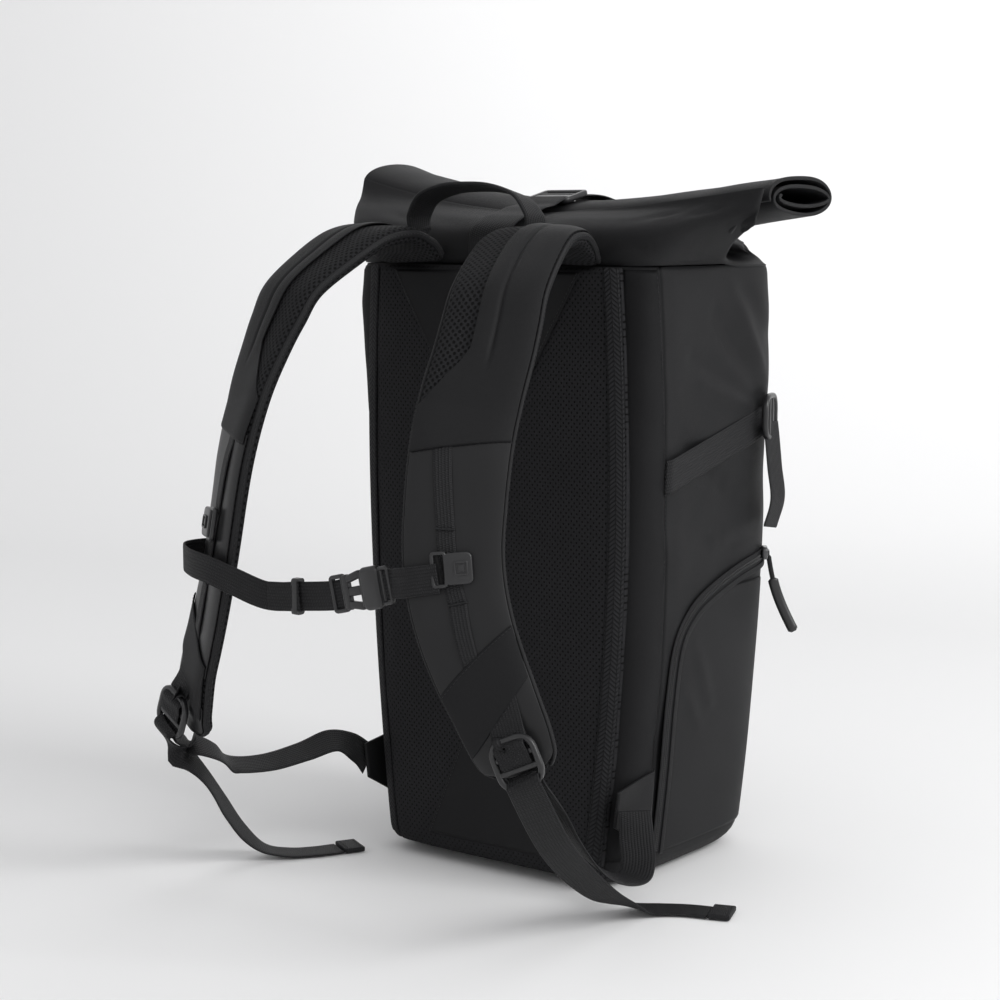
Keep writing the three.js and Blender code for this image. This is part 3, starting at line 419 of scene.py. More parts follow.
def stitches(name: str, line: Array, up: Array, pitch: float = 3.4, length: float = 2.3, width: float = 0.5,
             ) -> bpy.types.Object:
    """Makes a run of stitches along a line on a surface.

    Args:
        name: The object's name.
        line: Points of the line.
        up: The surface's normal at each point.
        pitch: From one stitch to the next.
        length: A stitch's length.
        width: A stitch's width.

    Returns:
        One object with all the stitches.
    """
    travelled = travelled_along(line)
    centres = np.arange(pitch / 2, travelled[-1], pitch)
    place = read_along(centres, travelled, line)
    along = unit(read_along(centres, travelled, unit(np.gradient(line, axis=0))))
    normal = unit(read_along(centres, travelled, up))
    side = unit(np.cross(normal, along))
    form = [(-1, 0, -0.4), (-0.75, 1, 0), (-0.75, 0, 1), (-0.75, -1, 0), (0.75, 1, 0), (0.75, 0, 1),
            (0.75, -1, 0), (1, 0, -0.4)]
    points = np.stack([
        place + along * a * length / 2 + side * s * width / 2 + normal * h * width / 2
        for a, s, h in form], axis=1)
    pattern = [(0, 2, 1), (0, 3, 2), (1, 2, 5, 4), (2, 3, 6, 5), (4, 5, 7), (5, 6, 7), (0, 1, 4, 7),
               (0, 7, 6, 3)]
    faces = [[8 * k + corner for corner in face] for k in range(len(place)) for face in pattern]
    return outward(mesh_object(name, points.reshape(-1, 3), faces))


# Materials
class Nodes:
    """Adds nodes to a shader tree in few words."""

    def __init__(self, tree: bpy.types.NodeTree) -> None:
        """Keeps the tree that the nodes go into."""
        self.tree = tree

    def add(self, kind: str, inputs: dict | None = None, **settings: object) -> bpy.types.Node:
        """Adds a node.

        Args:
            kind: The node's type.
            inputs: Values or sockets for its inputs, by name or number.
            settings: Its properties.

        Returns:
            The new node.
        """
        node = self.tree.nodes.new(kind)
        for key, value in settings.items():
            setattr(node, key, value)
        for key, value in (inputs or {}).items():
            if isinstance(value, bpy.types.NodeSocket):
                self.tree.links.new(value, node.inputs[key])
            else:
                node.inputs[key].default_value = value
        return node

    def sum(self, operation: str, first: object, second: object = 0.0, third: object = 0.0,
            ) -> bpy.types.NodeSocket:
        """The result of one Math node."""
        inputs = {0: first, 1: second, 2: third}
        return self.add("ShaderNodeMath", inputs, operation=operation).outputs[0]


def new_group(name: str, inputs: dict[str, str], outputs: dict[str, str],
              ) -> tuple[Nodes, dict, bpy.types.Node]:
    """Starts a shader node group.

    Args:
        name: The group's name.
        inputs: Socket types by name.
        outputs: Socket types by name.

    Returns:
        The tree's builder, the input sockets by name, and the output node.
    """
    tree = bpy.data.node_groups.new(name, "ShaderNodeTree")
    for label, kind in inputs.items():
        tree.interface.new_socket(name=label, in_out="INPUT", socket_type=kind)
    for label, kind in outputs.items():
        tree.interface.new_socket(name=label, in_out="OUTPUT", socket_type=kind)
    nodes = Nodes(tree)
    start = nodes.add("NodeGroupInput")
    end = nodes.add("NodeGroupOutput")
    return nodes, {label: start.outputs[label] for label in inputs}, end


class PatternGroups:
    """The node groups that the finishes share, each built once."""

    def __init__(self) -> None:
        """Builds every group."""
        self.groups = {
            Pattern.WEAVE: self.weave(),
            Pattern.RIBS: self.ribs(),
            Pattern.HOLES: self.holes(),
            Pattern.CHEVRON: self.chevron(),
        }
        self.mottle = self.unevenness()

    @staticmethod
    def cells(nodes: Nodes, given: dict) -> tuple[bpy.types.NodeSocket, bpy.types.NodeSocket]:
        """The place in the pattern's repeats, across and along.

        Args:
            nodes: The tree's builder.
            given: The group's inputs, by name.

        Returns:
            The two numbers' sockets.
        """
        parts = nodes.add("ShaderNodeSeparateXYZ", {0: given["Vector"]})
        across = nodes.sum("DIVIDE", parts.outputs[0], given["Across"])
        along = nodes.sum("DIVIDE", parts.outputs[1], given["Along"])
        return across, along

    @staticmethod
    def start(name: str) -> tuple[Nodes, dict, bpy.types.Node]:
        """Starts a pattern group with the sockets that they all have."""
        sizes = {"Vector": "NodeSocketVector", "Across": "NodeSocketFloat", "Along": "NodeSocketFloat",
                 "Hole": "NodeSocketFloat"}
        return new_group(name, sizes, {"Height": "NodeSocketFloat", "Tone": "NodeSocketFloat"})

    def weave(self) -> bpy.types.NodeTree:
        """A plain weave of crossing threads with slubs."""
        nodes, given, end = self.start("plain_weave")
        across, along = self.cells(nodes, given)
        wave_a = nodes.sum("SINE", nodes.sum("MULTIPLY", across, 2 * math.pi))
        wave_b = nodes.sum("SINE", nodes.sum("MULTIPLY", along, 2 * math.pi))
        height = nodes.sum("MULTIPLY_ADD", nodes.sum("MULTIPLY", wave_a, wave_b), 0.5, 0.5)
        slub = nodes.add("ShaderNodeTexNoise", {"Vector": given["Vector"], "Scale": 420.0, "Detail": 2.0})
        # Tone: partly painted shade, darker where the weave dips, and partly slub noise that varies it at
        # random.
        mixed = nodes.sum("MULTIPLY_ADD", slub.outputs[0], 0.6, nodes.sum("MULTIPLY", height, 0.7))
        nodes.tree.links.new(mixed, end.inputs["Height"])
        nodes.tree.links.new(nodes.sum("MULTIPLY_ADD", mixed, 0.5, 0.68), end.inputs["Tone"])
        return nodes.tree

    def ribs(self) -> bpy.types.NodeTree:
        """Webbing: fine ribs along it, each with staggered weft bumps."""
        nodes, given, end = self.start("webbing_ribs")
        across, along = self.cells(nodes, given)
        rib = nodes.sum("ABSOLUTE", nodes.sum("SINE", nodes.sum("MULTIPLY", across, math.pi)))
        stagger = nodes.sum("MULTIPLY", nodes.sum("FLOOR", across), 0.5)
        shifted = nodes.sum("ADD", along, stagger)
        weft = nodes.sum("ABSOLUTE", nodes.sum("SINE", nodes.sum("MULTIPLY", shifted, math.pi)))
        bumps = nodes.sum("MULTIPLY_ADD", weft, 0.6, 0.4)
        height = nodes.sum("MULTIPLY", nodes.sum("POWER", rib, 0.6), bumps)
        nodes.tree.links.new(height, end.inputs["Height"])
        # Tone: painted shade, darker in the grooves between the ribs and between the weft bumps.
        nodes.tree.links.new(nodes.sum("MULTIPLY_ADD", height, 0.75, 0.5), end.inputs["Tone"])
        return nodes.tree

    def holes(self) -> bpy.types.NodeTree:
        """Spacer mesh: staggered rows of small holes between knitted ribs."""
        nodes, given, end = self.start("air_mesh_holes")
        across, along = self.cells(nodes, given)
        twice = nodes.sum("MULTIPLY", along, 2.0)
        row = nodes.sum("FLOOR", twice)
        shift = nodes.sum("MULTIPLY", nodes.sum("MODULO", row, 2.0), 0.5)
        near_x = nodes.sum("SUBTRACT", nodes.sum("FRACT", nodes.sum("ADD", across, shift)), 0.5)
        near_y = nodes.sum("MULTIPLY", nodes.sum("SUBTRACT", nodes.sum("FRACT", twice), 0.5), 0.5)
        squares = nodes.sum("ADD", nodes.sum("POWER", nodes.sum("ABSOLUTE", near_x), 2.0),
                            nodes.sum("POWER", nodes.sum("ABSOLUTE", near_y), 2.0))
        distance = nodes.sum("DIVIDE", nodes.sum("SQRT", squares), given["Hole"])
        edge = nodes.add("ShaderNodeMapRange", {0: distance, 1: 0.55, 2: 1.15, 3: 0.0, 4: 1.0},
                         interpolation_type="SMOOTHSTEP")
        knit = nodes.add("ShaderNodeTexNoise", {"Vector": given["Vector"], "Scale": 700.0, "Detail": 2.0})
        height = nodes.sum("MULTIPLY_ADD", knit.outputs[0], 0.25, edge.outputs[0])
        nodes.tree.links.new(height, end.inputs["Height"])
        # Tone: painted shade darkens the holes, and knit noise varies it at random.
        tone = nodes.sum("MULTIPLY", nodes.sum("MULTIPLY_ADD", edge.outputs[0], 0.85, 0.15),
                         nodes.sum("MULTIPLY_ADD", knit.outputs[0], 0.8, 0.6))
        nodes.tree.links.new(tone, end.inputs["Tone"])
        return nodes.tree

    def chevron(self) -> bpy.types.NodeTree:
        """A herringbone knit: short slanted ribs that turn back at each repeat."""
        nodes, given, end = self.start("herringbone")
        across, along = self.cells(nodes, given)
        fold = nodes.sum("ABSOLUTE", nodes.sum("SUBTRACT", nodes.sum("FRACT", across), 0.5))
        slant = nodes.sum("MULTIPLY_ADD", fold, -2.4, along)
        wave = nodes.sum("ABSOLUTE", nodes.sum("SINE", nodes.sum("MULTIPLY", slant, math.pi)))
        rib = nodes.sum("POWER", wave, 0.55)
        line = nodes.add("ShaderNodeMapRange", {0: fold, 1: 0.0, 2: 0.06, 3: 0.35, 4: 1.0})
        edge = nodes.add("ShaderNodeMapRange", {0: fold, 1: 0.44, 2: 0.5, 3: 1.0, 4: 0.35})
        height = nodes.sum("MULTIPLY", nodes.sum("MULTIPLY", rib, line.outputs[0]), edge.outputs[0])
        nodes.tree.links.new(height, end.inputs["Height"])
        # Tone: painted shade, darker in the knit's grooves and along the lines where its ribs turn.
        nodes.tree.links.new(nodes.sum("MULTIPLY_ADD", height, 0.95, 0.3), end.inputs["Tone"])
        return nodes.tree

    @staticmethod
    def unevenness() -> bpy.types.NodeTree:
        """Slow change of tone, and fine grain, over the whole object."""
        nodes, given, end = new_group(
            "mottle", {"Amount": "NodeSocketFloat"},
            {"Tone": "NodeSocketFloat", "Grain": "NodeSocketFloat"})
        place = nodes.add("ShaderNodeTexCoord").outputs["Object"]
        slow = nodes.add("ShaderNodeTexNoise", {"Vector": place, "Scale": 14.0, "Detail": 4.0})
        fine = nodes.add("ShaderNodeTexNoise", {"Vector": place, "Scale": 900.0, "Detail": 3.0})
        centred = nodes.sum("SUBTRACT", slow.outputs[0], 0.5)
        tone = nodes.sum("MULTIPLY_ADD", centred, given["Amount"], 1.0)
        nodes.tree.links.new(tone, end.inputs["Tone"])
        nodes.tree.links.new(fine.outputs[0], end.inputs["Grain"])
        return nodes.tree


class Wardrobe:
    """Makes each finish's material once and puts it on pieces."""

    def __init__(self) -> None:
        """Builds the shared groups and starts with no materials."""
        self.patterns = PatternGroups()
        self.made: dict[str, bpy.types.Material] = {}

    def material(self, finish: Finish) -> bpy.types.Material:
        """The finish's material, built on first use."""
        if finish.name not in self.made:
            self.made[finish.name] = self.build(finish)
        return self.made[finish.name]

    def build(self, finish: Finish) -> bpy.types.Material:
        """Builds the material of a finish.

        Args:
            finish: What it looks like.

        Returns:
            The new material.
        """
        material = bpy.data.materials.new(finish.name)
        material.use_nodes = True
        nodes = Nodes(material.node_tree)
        shader = next(node for node in material.node_tree.nodes if node.type == "BSDF_PRINCIPLED")
        mottle = nodes.add("ShaderNodeGroup", node_tree=self.patterns.mottle)
        mottle.inputs["Amount"].default_value = finish.mottle * 2
        height = mottle.outputs["Grain"]
        tone = mottle.outputs["Tone"]
        if finish.pattern is not Pattern.SMOOTH:
            flat = nodes.add("ShaderNodeUVMap", uv_map="UVMap")
            pattern = nodes.add("ShaderNodeGroup", node_tree=self.patterns.groups[finish.pattern])
            nodes.tree.links.new(flat.outputs[0], pattern.inputs["Vector"])
            pattern.inputs["Across"].default_value = finish.pitch[0] * MM
            pattern.inputs["Along"].default_value = finish.pitch[1] * MM
            pattern.inputs["Hole"].default_value = finish.hole
            height = pattern.outputs["Height"]
            # The pattern's tone, with its painted shade in grooves and holes, darkens the base colour here.
            tone = nodes.sum("MULTIPLY", tone, pattern.outputs["Tone"])
        level = nodes.sum("MULTIPLY", tone, finish.colour)
        blue = nodes.sum("MULTIPLY", level, 1.08)
        colour = nodes.add("ShaderNodeCombineColor", {0: level, 1: level, 2: blue})
        bump = nodes.add(
            "ShaderNodeBump", {"Height": height, "Strength": 1.0, "Distance": finish.depth * MM})
        rough = nodes.sum("MULTIPLY_ADD", mottle.outputs["Grain"], 0.14, finish.roughness - 0.07)
        nodes.tree.links.new(colour.outputs[0], shader.inputs["Base Color"])
        nodes.tree.links.new(bump.outputs[0], shader.inputs["Normal"])
        nodes.tree.links.new(rough, shader.inputs["Roughness"])
        shader.inputs["Specular IOR Level"].default_value = finish.specular
        shader.inputs["Coat Weight"].default_value = finish.coat
        shader.inputs["Coat Roughness"].default_value = 0.25
        return material

    def dress(self, piece: bpy.types.Object, finish: Finish, nodes: Sequence[str] = ()) -> bpy.types.Object:
        """Gives a piece its finish, its body and the nodes that it stands for.

        Args:
            piece: The object.
            finish: Its finish.
            nodes: The frame's nodes that it replaces.

        Returns:
            The same object.
        """
        piece.data.materials.clear()
        piece.data.materials.append(self.material(finish))
        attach(piece, "root")
        if nodes:
            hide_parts(*nodes)
        return piece


@dataclass
class PackShell:
    """The pack's body: a soft rectangular bag with side seams, pressed folds and a turned-in rim."""

    wardrobe: Wardrobe
    rim_height: float = 455
    half_widths: tuple[float, float, float] = (111, 129, 139)
    front_depths: tuple[float, float, float] = (99, 108, 92)
    back_depth: float = 94
    base_radius: float = 20
    squareness: float = 6
    back_squareness: float = 10
    wall: float = 4
    seam_line: Sequence[tuple[float, float]] = (
        (453, -78), (383, -70), (311, -62), (245, -56), (185, -54), (110, -53), (17, -49))

    def sizes(self, z: Array) -> tuple[Array, Array, Array]:
        """Half width, front depth and back depth of the section at each height.

        Args:
            z: Heights.

        Returns:
            The three sizes.
        """
        share = np.clip(np.asarray(z, float) / self.rim_height, 0, 1)
        below = np.clip(1 - np.asarray(z, float) / self.base_radius, 0, 1)
        inset = self.base_radius * (1 - np.sqrt(1 - below**2))
        return (through(*self.half_widths, share) - inset, through(*self.front_depths, share) - inset,
                self.back_depth - inset)

    def seam_depth(self, z: Array) -> Array:
        """How far back the side seam lies at each height, as y.

        Args:
            z: Heights.

        Returns:
            The seam's y at each.
        """
        heights = [row[0] for row in self.seam_line][::-1]
        depths = [row[1] for row in self.seam_line][::-1]
        return np.interp(z, heights, depths)

    def exponent(self, y: Array) -> Array:
        """How square the section is at y: sharper at the back."""
        return np.where(np.asarray(y) < 0, self.back_squareness, self.squareness)

    def side(self, y: Array, z: Array, lift: Array | float) -> Array:
        """Points over the right side, at depths y and heights z.

        Args:
            y: Depths.
            z: Heights.
            lift: How far off the shell.

        Returns:
            The points.
        """
        half, front, back = self.sizes(z)
        depth = np.where(np.asarray(y) < 0, back, front)
        share = np.clip(np.abs(y) / depth, 0, 0.9999)
        bend = self.exponent(y)
        x = half * (1 - share**bend) ** (1 / bend)
        slope_x = (x / half) ** (bend - 1) / half
        slope_y = power(np.asarray(y) / depth, bend - 1) / depth
        normal = unit(np.stack([slope_x, slope_y, 0 * x], axis=-1))
        return np.stack(np.broadcast_arrays(x, y, z), axis=-1) + normal * np.asarray(lift)[..., None]

    def back(self, x: Array, z: Array, lift: Array | float) -> Array:
        """Points over the back, at places x and heights z, set off along -Y.

        Args:
            x: Places across.
            z: Heights.
            lift: How far off the shell.

        Returns:
            The points.
        """
        half, _, back = self.sizes(z)
        share = np.clip(np.abs(x) / half, 0, 0.99)
        y = -back * (1 - share**self.back_squareness) ** (1 / self.back_squareness) - lift
        return np.stack(np.broadcast_arrays(x, y, z), axis=-1)

    def front(self, x: Array, z: Array, lift: Array | float) -> Array:
        """Points over the front, set off along +Y.

        Args:
            x: Places across.
            z: Heights.
            lift: How far off the shell.

        Returns:
            The points.
        """
        half, front, _ = self.sizes(z)
        share = np.clip(np.abs(x) / half, 0, 0.99)
        y = front * (1 - share**self.squareness) ** (1 / self.squareness) + lift
        return np.stack(np.broadcast_arrays(x, y, z), axis=-1)

    def ring(self, turns: Array, z: float, lift: float) -> Array:
        """The section at a height, at turns about the middle.

        Args:
            turns: Angles about the middle.
            z: The height.
            lift: How far off the shell.

        Returns:
            A ring of points.
        """
        half, front, back = self.sizes(z)
        depth = np.where(np.sin(turns) < 0, back, front)
        bend = self.exponent(np.sin(turns))
        wide = (np.abs(np.cos(turns)) / half) ** bend
        reach = (wide + (np.abs(np.sin(turns)) / depth) ** bend) ** (-1 / bend)
        x, y = reach * np.cos(turns), reach * np.sin(turns)
        slopes = [power(x / half, bend - 1) / half, power(y / depth, bend - 1) / depth]
        normal = unit(np.stack(slopes, axis=-1))
        return np.stack([x + normal[:, 0] * lift, y + normal[:, 1] * lift, np.full_like(x, z)], axis=-1)

    def turns(self, z: float) -> Array:
        """Turns of the section's columns, which crowd at the side seams.

        Args:
            z: The height.

        Returns:
            Angles about the middle.
        """
        y = float(self.seam_depth(z))
        x = float(self.side(np.array(y), np.array(z), 0.0)[0])
        seam = math.atan2(y, x)
        reach = math.hypot(x, y)
        near = np.array([-7, -4.5, -2.8, -1.6, -0.8, 0, 0.8, 1.6, 2.8, 4.5, 7]) / reach
        back_part = np.linspace(-math.pi / 2, seam - 9 / reach, 44)
        front_part = np.linspace(seam + 9 / reach, math.pi - seam - 9 / reach, 250)
        left = math.pi - seam - near[::-1]
        last = np.linspace(math.pi - seam + 9 / reach, 1.5 * math.pi, 44)[:-1]
        return np.concatenate([back_part, seam + near, front_part, left, last])

    def build(self) -> None:
        """Makes the shell, its seams and its stitches."""
        heights = np.concatenate([
            self.base_radius * np.array([0, 0.004, 0.02, 0.06, 0.13, 0.24, 0.4, 0.6, 0.8, 1]),
            np.linspace(self.base_radius, self.rim_height, 130)[1:]])
        outer = np.stack([self.ring(self.turns(z), z, 0) for z in heights])
        flat = lengths_of(np.concatenate([outer, outer[:, :1]], axis=1))
        outer = self.folded(outer)
        rim_in = self.ring(self.turns(self.rim_height), self.rim_height - 0.5, -self.wall)
        inner = [rim_in]
        for z in (self.rim_height - 20, 300, 150, 20, 8, 7):
            inner.append(self.ring(self.turns(z), z, -self.wall - (5 if z < 10 else 0)))
        rings = np.concatenate([outer, np.stack(inner)])
        deeper = np.stack([flat[-1] + [0, 10 * (k + 1)] for k in range(len(inner))])
        shell = loft_object("pack_shell", rings, np.concatenate([flat, deeper]))
        self.wardrobe.dress(shell, NYLON, ["pack_body"])
        self.side_seams()
        self.paint_gusset_shade()

    def paint_gusset_shade(self) -> None:
        """Lays a darker sheet over the shell between the back pad and each side seam: painted shade where
        the gussets face away from the light.
        """
        rows = []
        for z in np.linspace(22, self.rim_height - 2, 120):
            seam = self.side(self.seam_depth(z) - 1.9, np.array(z), 0.0)
            edge = self.back(0.83 * self.sizes(z)[0], np.array(z), 0.0)
            turns = np.linspace(math.atan2(edge[1], edge[0]), math.atan2(seam[1], seam[0]), 26)
            rows.append(self.ring(turns, z, 0.6))
        for side in Side:
            grid = np.stack(rows)
            if side is Side.LEFT:
                grid = mirrored(grid)
            cloth = outward(sheet_object(f"gusset_cloth_{side.label}", self.folded(grid), 0.9))
            self.wardrobe.dress(cloth, GUSSET_SHADE)

    def folded(self, grid: Array) -> Array:
        """Pushes the pressed folds, the seams' grooves and a soft unevenness into the outer skin.

        Args:
            grid: Points of the outer skin.

        Returns:
            The moved points.
        """
        normals = unit(grid * [1, 1, 0])
        x, y, z = grid[..., 0], grid[..., 1], grid[..., 2]
        from_seam = np.where(np.abs(x) > 60, y - self.seam_depth(z), 99)
        depth = 1.5 * np.exp(-((from_seam / 1.3) ** 2)) + 1.2 * np.exp(-((from_seam / 11) ** 2))
        depth += 1.6 * np.exp(-(((self.rim_height - z) / 3) ** 2))
        depth += 0.9 * np.exp(-(((z - 24) / 2.2) ** 2)) * (np.abs(from_seam) < 98)
        calm = np.clip((z - 10) / 60, 0, 1) * np.clip((self.rim_height - z) / 30, 0, 1)
        depth += ripple(grid, 4, 130, 1.0) * calm + ripple(grid, 8, 46, 0.3) * calm
        right = [
            ((139, -6, 420), (132, 62, 356), 8, 2.0), ((139, 16, 436), (133, 66, 366), 7, -1.6),
            ((137, -34, 388), (131, 60, 350), 8, 2.0), ((137, -20, 370), (131, 62, 344), 6, -1.6),
            ((136, -45, 330), (130, 10, 296), 9, 1.8), ((134, -50, 268), (131, 30, 250), 13, 1.6),
            ((133, 10, 250), (125, 70, 262), 9, -1.6), ((128, -20, 160), (124, 60, 120), 16, 1.2),
            ((125, -20, 96), (118, 66, 60), 13, 1.2), ((139, 20, 452), (131, 70, 400), 8, 1.6)]
        for start, end, width, deep in right:
            depth += crease(grid, start, end, width, 1.6 * deep) * calm
            other = (-start[0], start[1] + 8, start[2] - 12), (-end[0], end[1] - 10, end[2] + 16)
            depth += crease(grid, other[0], other[1], width * 1.2, deep * 0.8) * calm
        front = ((80, 14, 1.4), (160, -18, 1.6), (240, 12, 1.8), (330, -14, 1.6), (405, 20, 1.8))
        for z_low, tilt, deep in front:
            depth += crease(grid, (-100, 100, z_low), (100, 100, z_low + tilt), 16, deep) * calm
        return grid - normals * depth[..., None]

    def side_seams(self) -> None:
        """Lays a line of stitches behind each side seam."""
        z = np.linspace(26, 448, 120)
        for side in Side:
            line = self.side(self.seam_depth(z) - 3.2, z, 0.05)
            up = unit(line * [1, 1, 0])
            sign = [side.value, 1, 1]
            run = stitches(f"side_stitches_{side.label}", line * sign, up * sign)
            self.wardrobe.dress(run, THREAD)


@dataclass
class BackPanel:
    """The wearer's side: an air-mesh pad with herringbone edges and two smooth facings."""

    wardrobe: Wardrobe
    shell: PackShell
    half_widths: tuple[float, float, float] = (98, 119, 115)
    base: float = 8
    thickness: float = 9
    edge_thickness: float = 4
    gap: float = 0.6
    band: float = 11
    yoke: tuple[float, float, float] = (86, 451, 312)
    lumbar: tuple[float, float, float] = (55, 21, 140)

    def half_width(self, z: Array) -> Array:
        """The pad's half width at each height."""
        return through(*self.half_widths, np.asarray(z, float) / self.shell.rim_height)

    def depth_at(self, x: Array, z: Array) -> Array:
        """The pad's thickness."""
        share = np.abs(x) / self.half_width(z)
        return mix(self.thickness, self.edge_thickness, share**8)

    def surface(self, x: Array, z: Array, lift: float) -> Array:
        """Points on the pad's face."""
        return self.shell.back(x, z, self.gap + self.depth_at(x, z) + lift)

    def build(self) -> None:
        """Makes the pad, its edges, the facings and their stitches."""
        top = self.shell.rim_height - 0.6
        share = crowded(150)
        z = np.concatenate([np.linspace(self.base, 20, 14), np.linspace(20, top, 170)[1:]])
        x = share[None, :] * self.half_width(z)[:, None]
        height = np.broadcast_to(z[:, None], x.shape)
        outer = self.surface(x, height, 0)
        from_band = np.abs(x) - self.half_width(height) + self.band
        outer[..., 1] += ripple(outer, 21, 120, 0.5) + 0.9 * np.exp(-((from_band / 1.6) ** 2))
        inner = self.shell.back(x, height, self.gap)
        middle = (outer + inner) / 2
        made = self.slab("back_pad_mesh", outer, inner, middle)
        self.wardrobe.dress(made, BACK_MESH, ["back_pad"])
        self.edges(z)
        self.facing("yoke_facing_cloth", self.yoke, "yoke_facing")
        self.facing("lumbar_facing_cloth", self.lumbar, "lumbar_facing")

    @staticmethod
    def slab(name: str, outer: Array, inner: Array, middle: Array) -> bpy.types.Object:
        """Joins an outer and an inner face round their rims.

        Args:
            name: The object's name.
            outer: The outer face's grid.
            inner: The inner face's grid.
            middle: The grid between them, whose rim both share.

        Returns:
            The new object.
        """
        rows, columns, _ = outer.shape
        index = np.arange(rows * columns).reshape(rows, columns)
        rim = middle.copy()
        flat = lengths_of(outer)
        faces, flats = two_sided(index, index + rows * columns)
        for face in (outer, inner):
            face[0], face[-1] = rim[0], rim[-1]
            face[:, 0], face[:, -1] = rim[:, 0], rim[:, -1]
        points = np.vstack([outer.reshape(-1, 3), inner.reshape(-1, 3)])
        return outward(mesh_object(name, points, faces, flat.reshape(-1, 2), flats))

    def edges(self, z: Array) -> None:
        """Lays a herringbone band along each side of the pad.

        Args:
            z: The heights of the pad's rows.
        """
        rows = z[z > 12]
        across = crowded(9)
        for side in Side:
            edge = self.half_width(rows) - self.band / 2 - 0.8
            x = edge[:, None] + across[None, :] * self.band / 2
            grid = self.surface(x, np.broadcast_to(rows[:, None], x.shape), 0.4)
            if side is Side.LEFT:
                grid = mirrored(grid)
            strip = outward(sheet_object(f"edge_band_{side.label}", grid, 1.4))
            self.wardrobe.dress(strip, EDGE_MESH)

    def facing(self, name: str, sizes: tuple[float, float, float], node: str) -> None:
        """Makes a smooth facing that tapers to a point.

        Args:
            name: The piece's name.
            sizes: Its half width, the height of its wide end and of its point.
            node: The frame's node that it stands for.
        """
        half, wide, point = sizes
        share = np.linspace(0, 1, 60)
        z = mix(wide, point, share)
        x = crowded(41)[None, :] * (half * mix(1, 0.06, share))[:, None]
        grid = self.surface(x, np.broadcast_to(z[:, None], x.shape), 1.0)
        cloth = outward(sheet_object(name, grid, 1.1))
        self.wardrobe.dress(cloth, FACING, [node])
        for sign in (-1, 1):
            edge = sign * (half * mix(1, 0.06, share) - 2.2)
            line = self.surface(edge, z, 1.75)
            up = np.broadcast_to(np.array([0.0, -1.0, 0.0]), line.shape)
            label = Side(sign).label
            run = stitches(f"{name}_stitches_{label}", line, up, pitch=3.2, length=2.2)
            self.wardrobe.dress(run, THREAD)


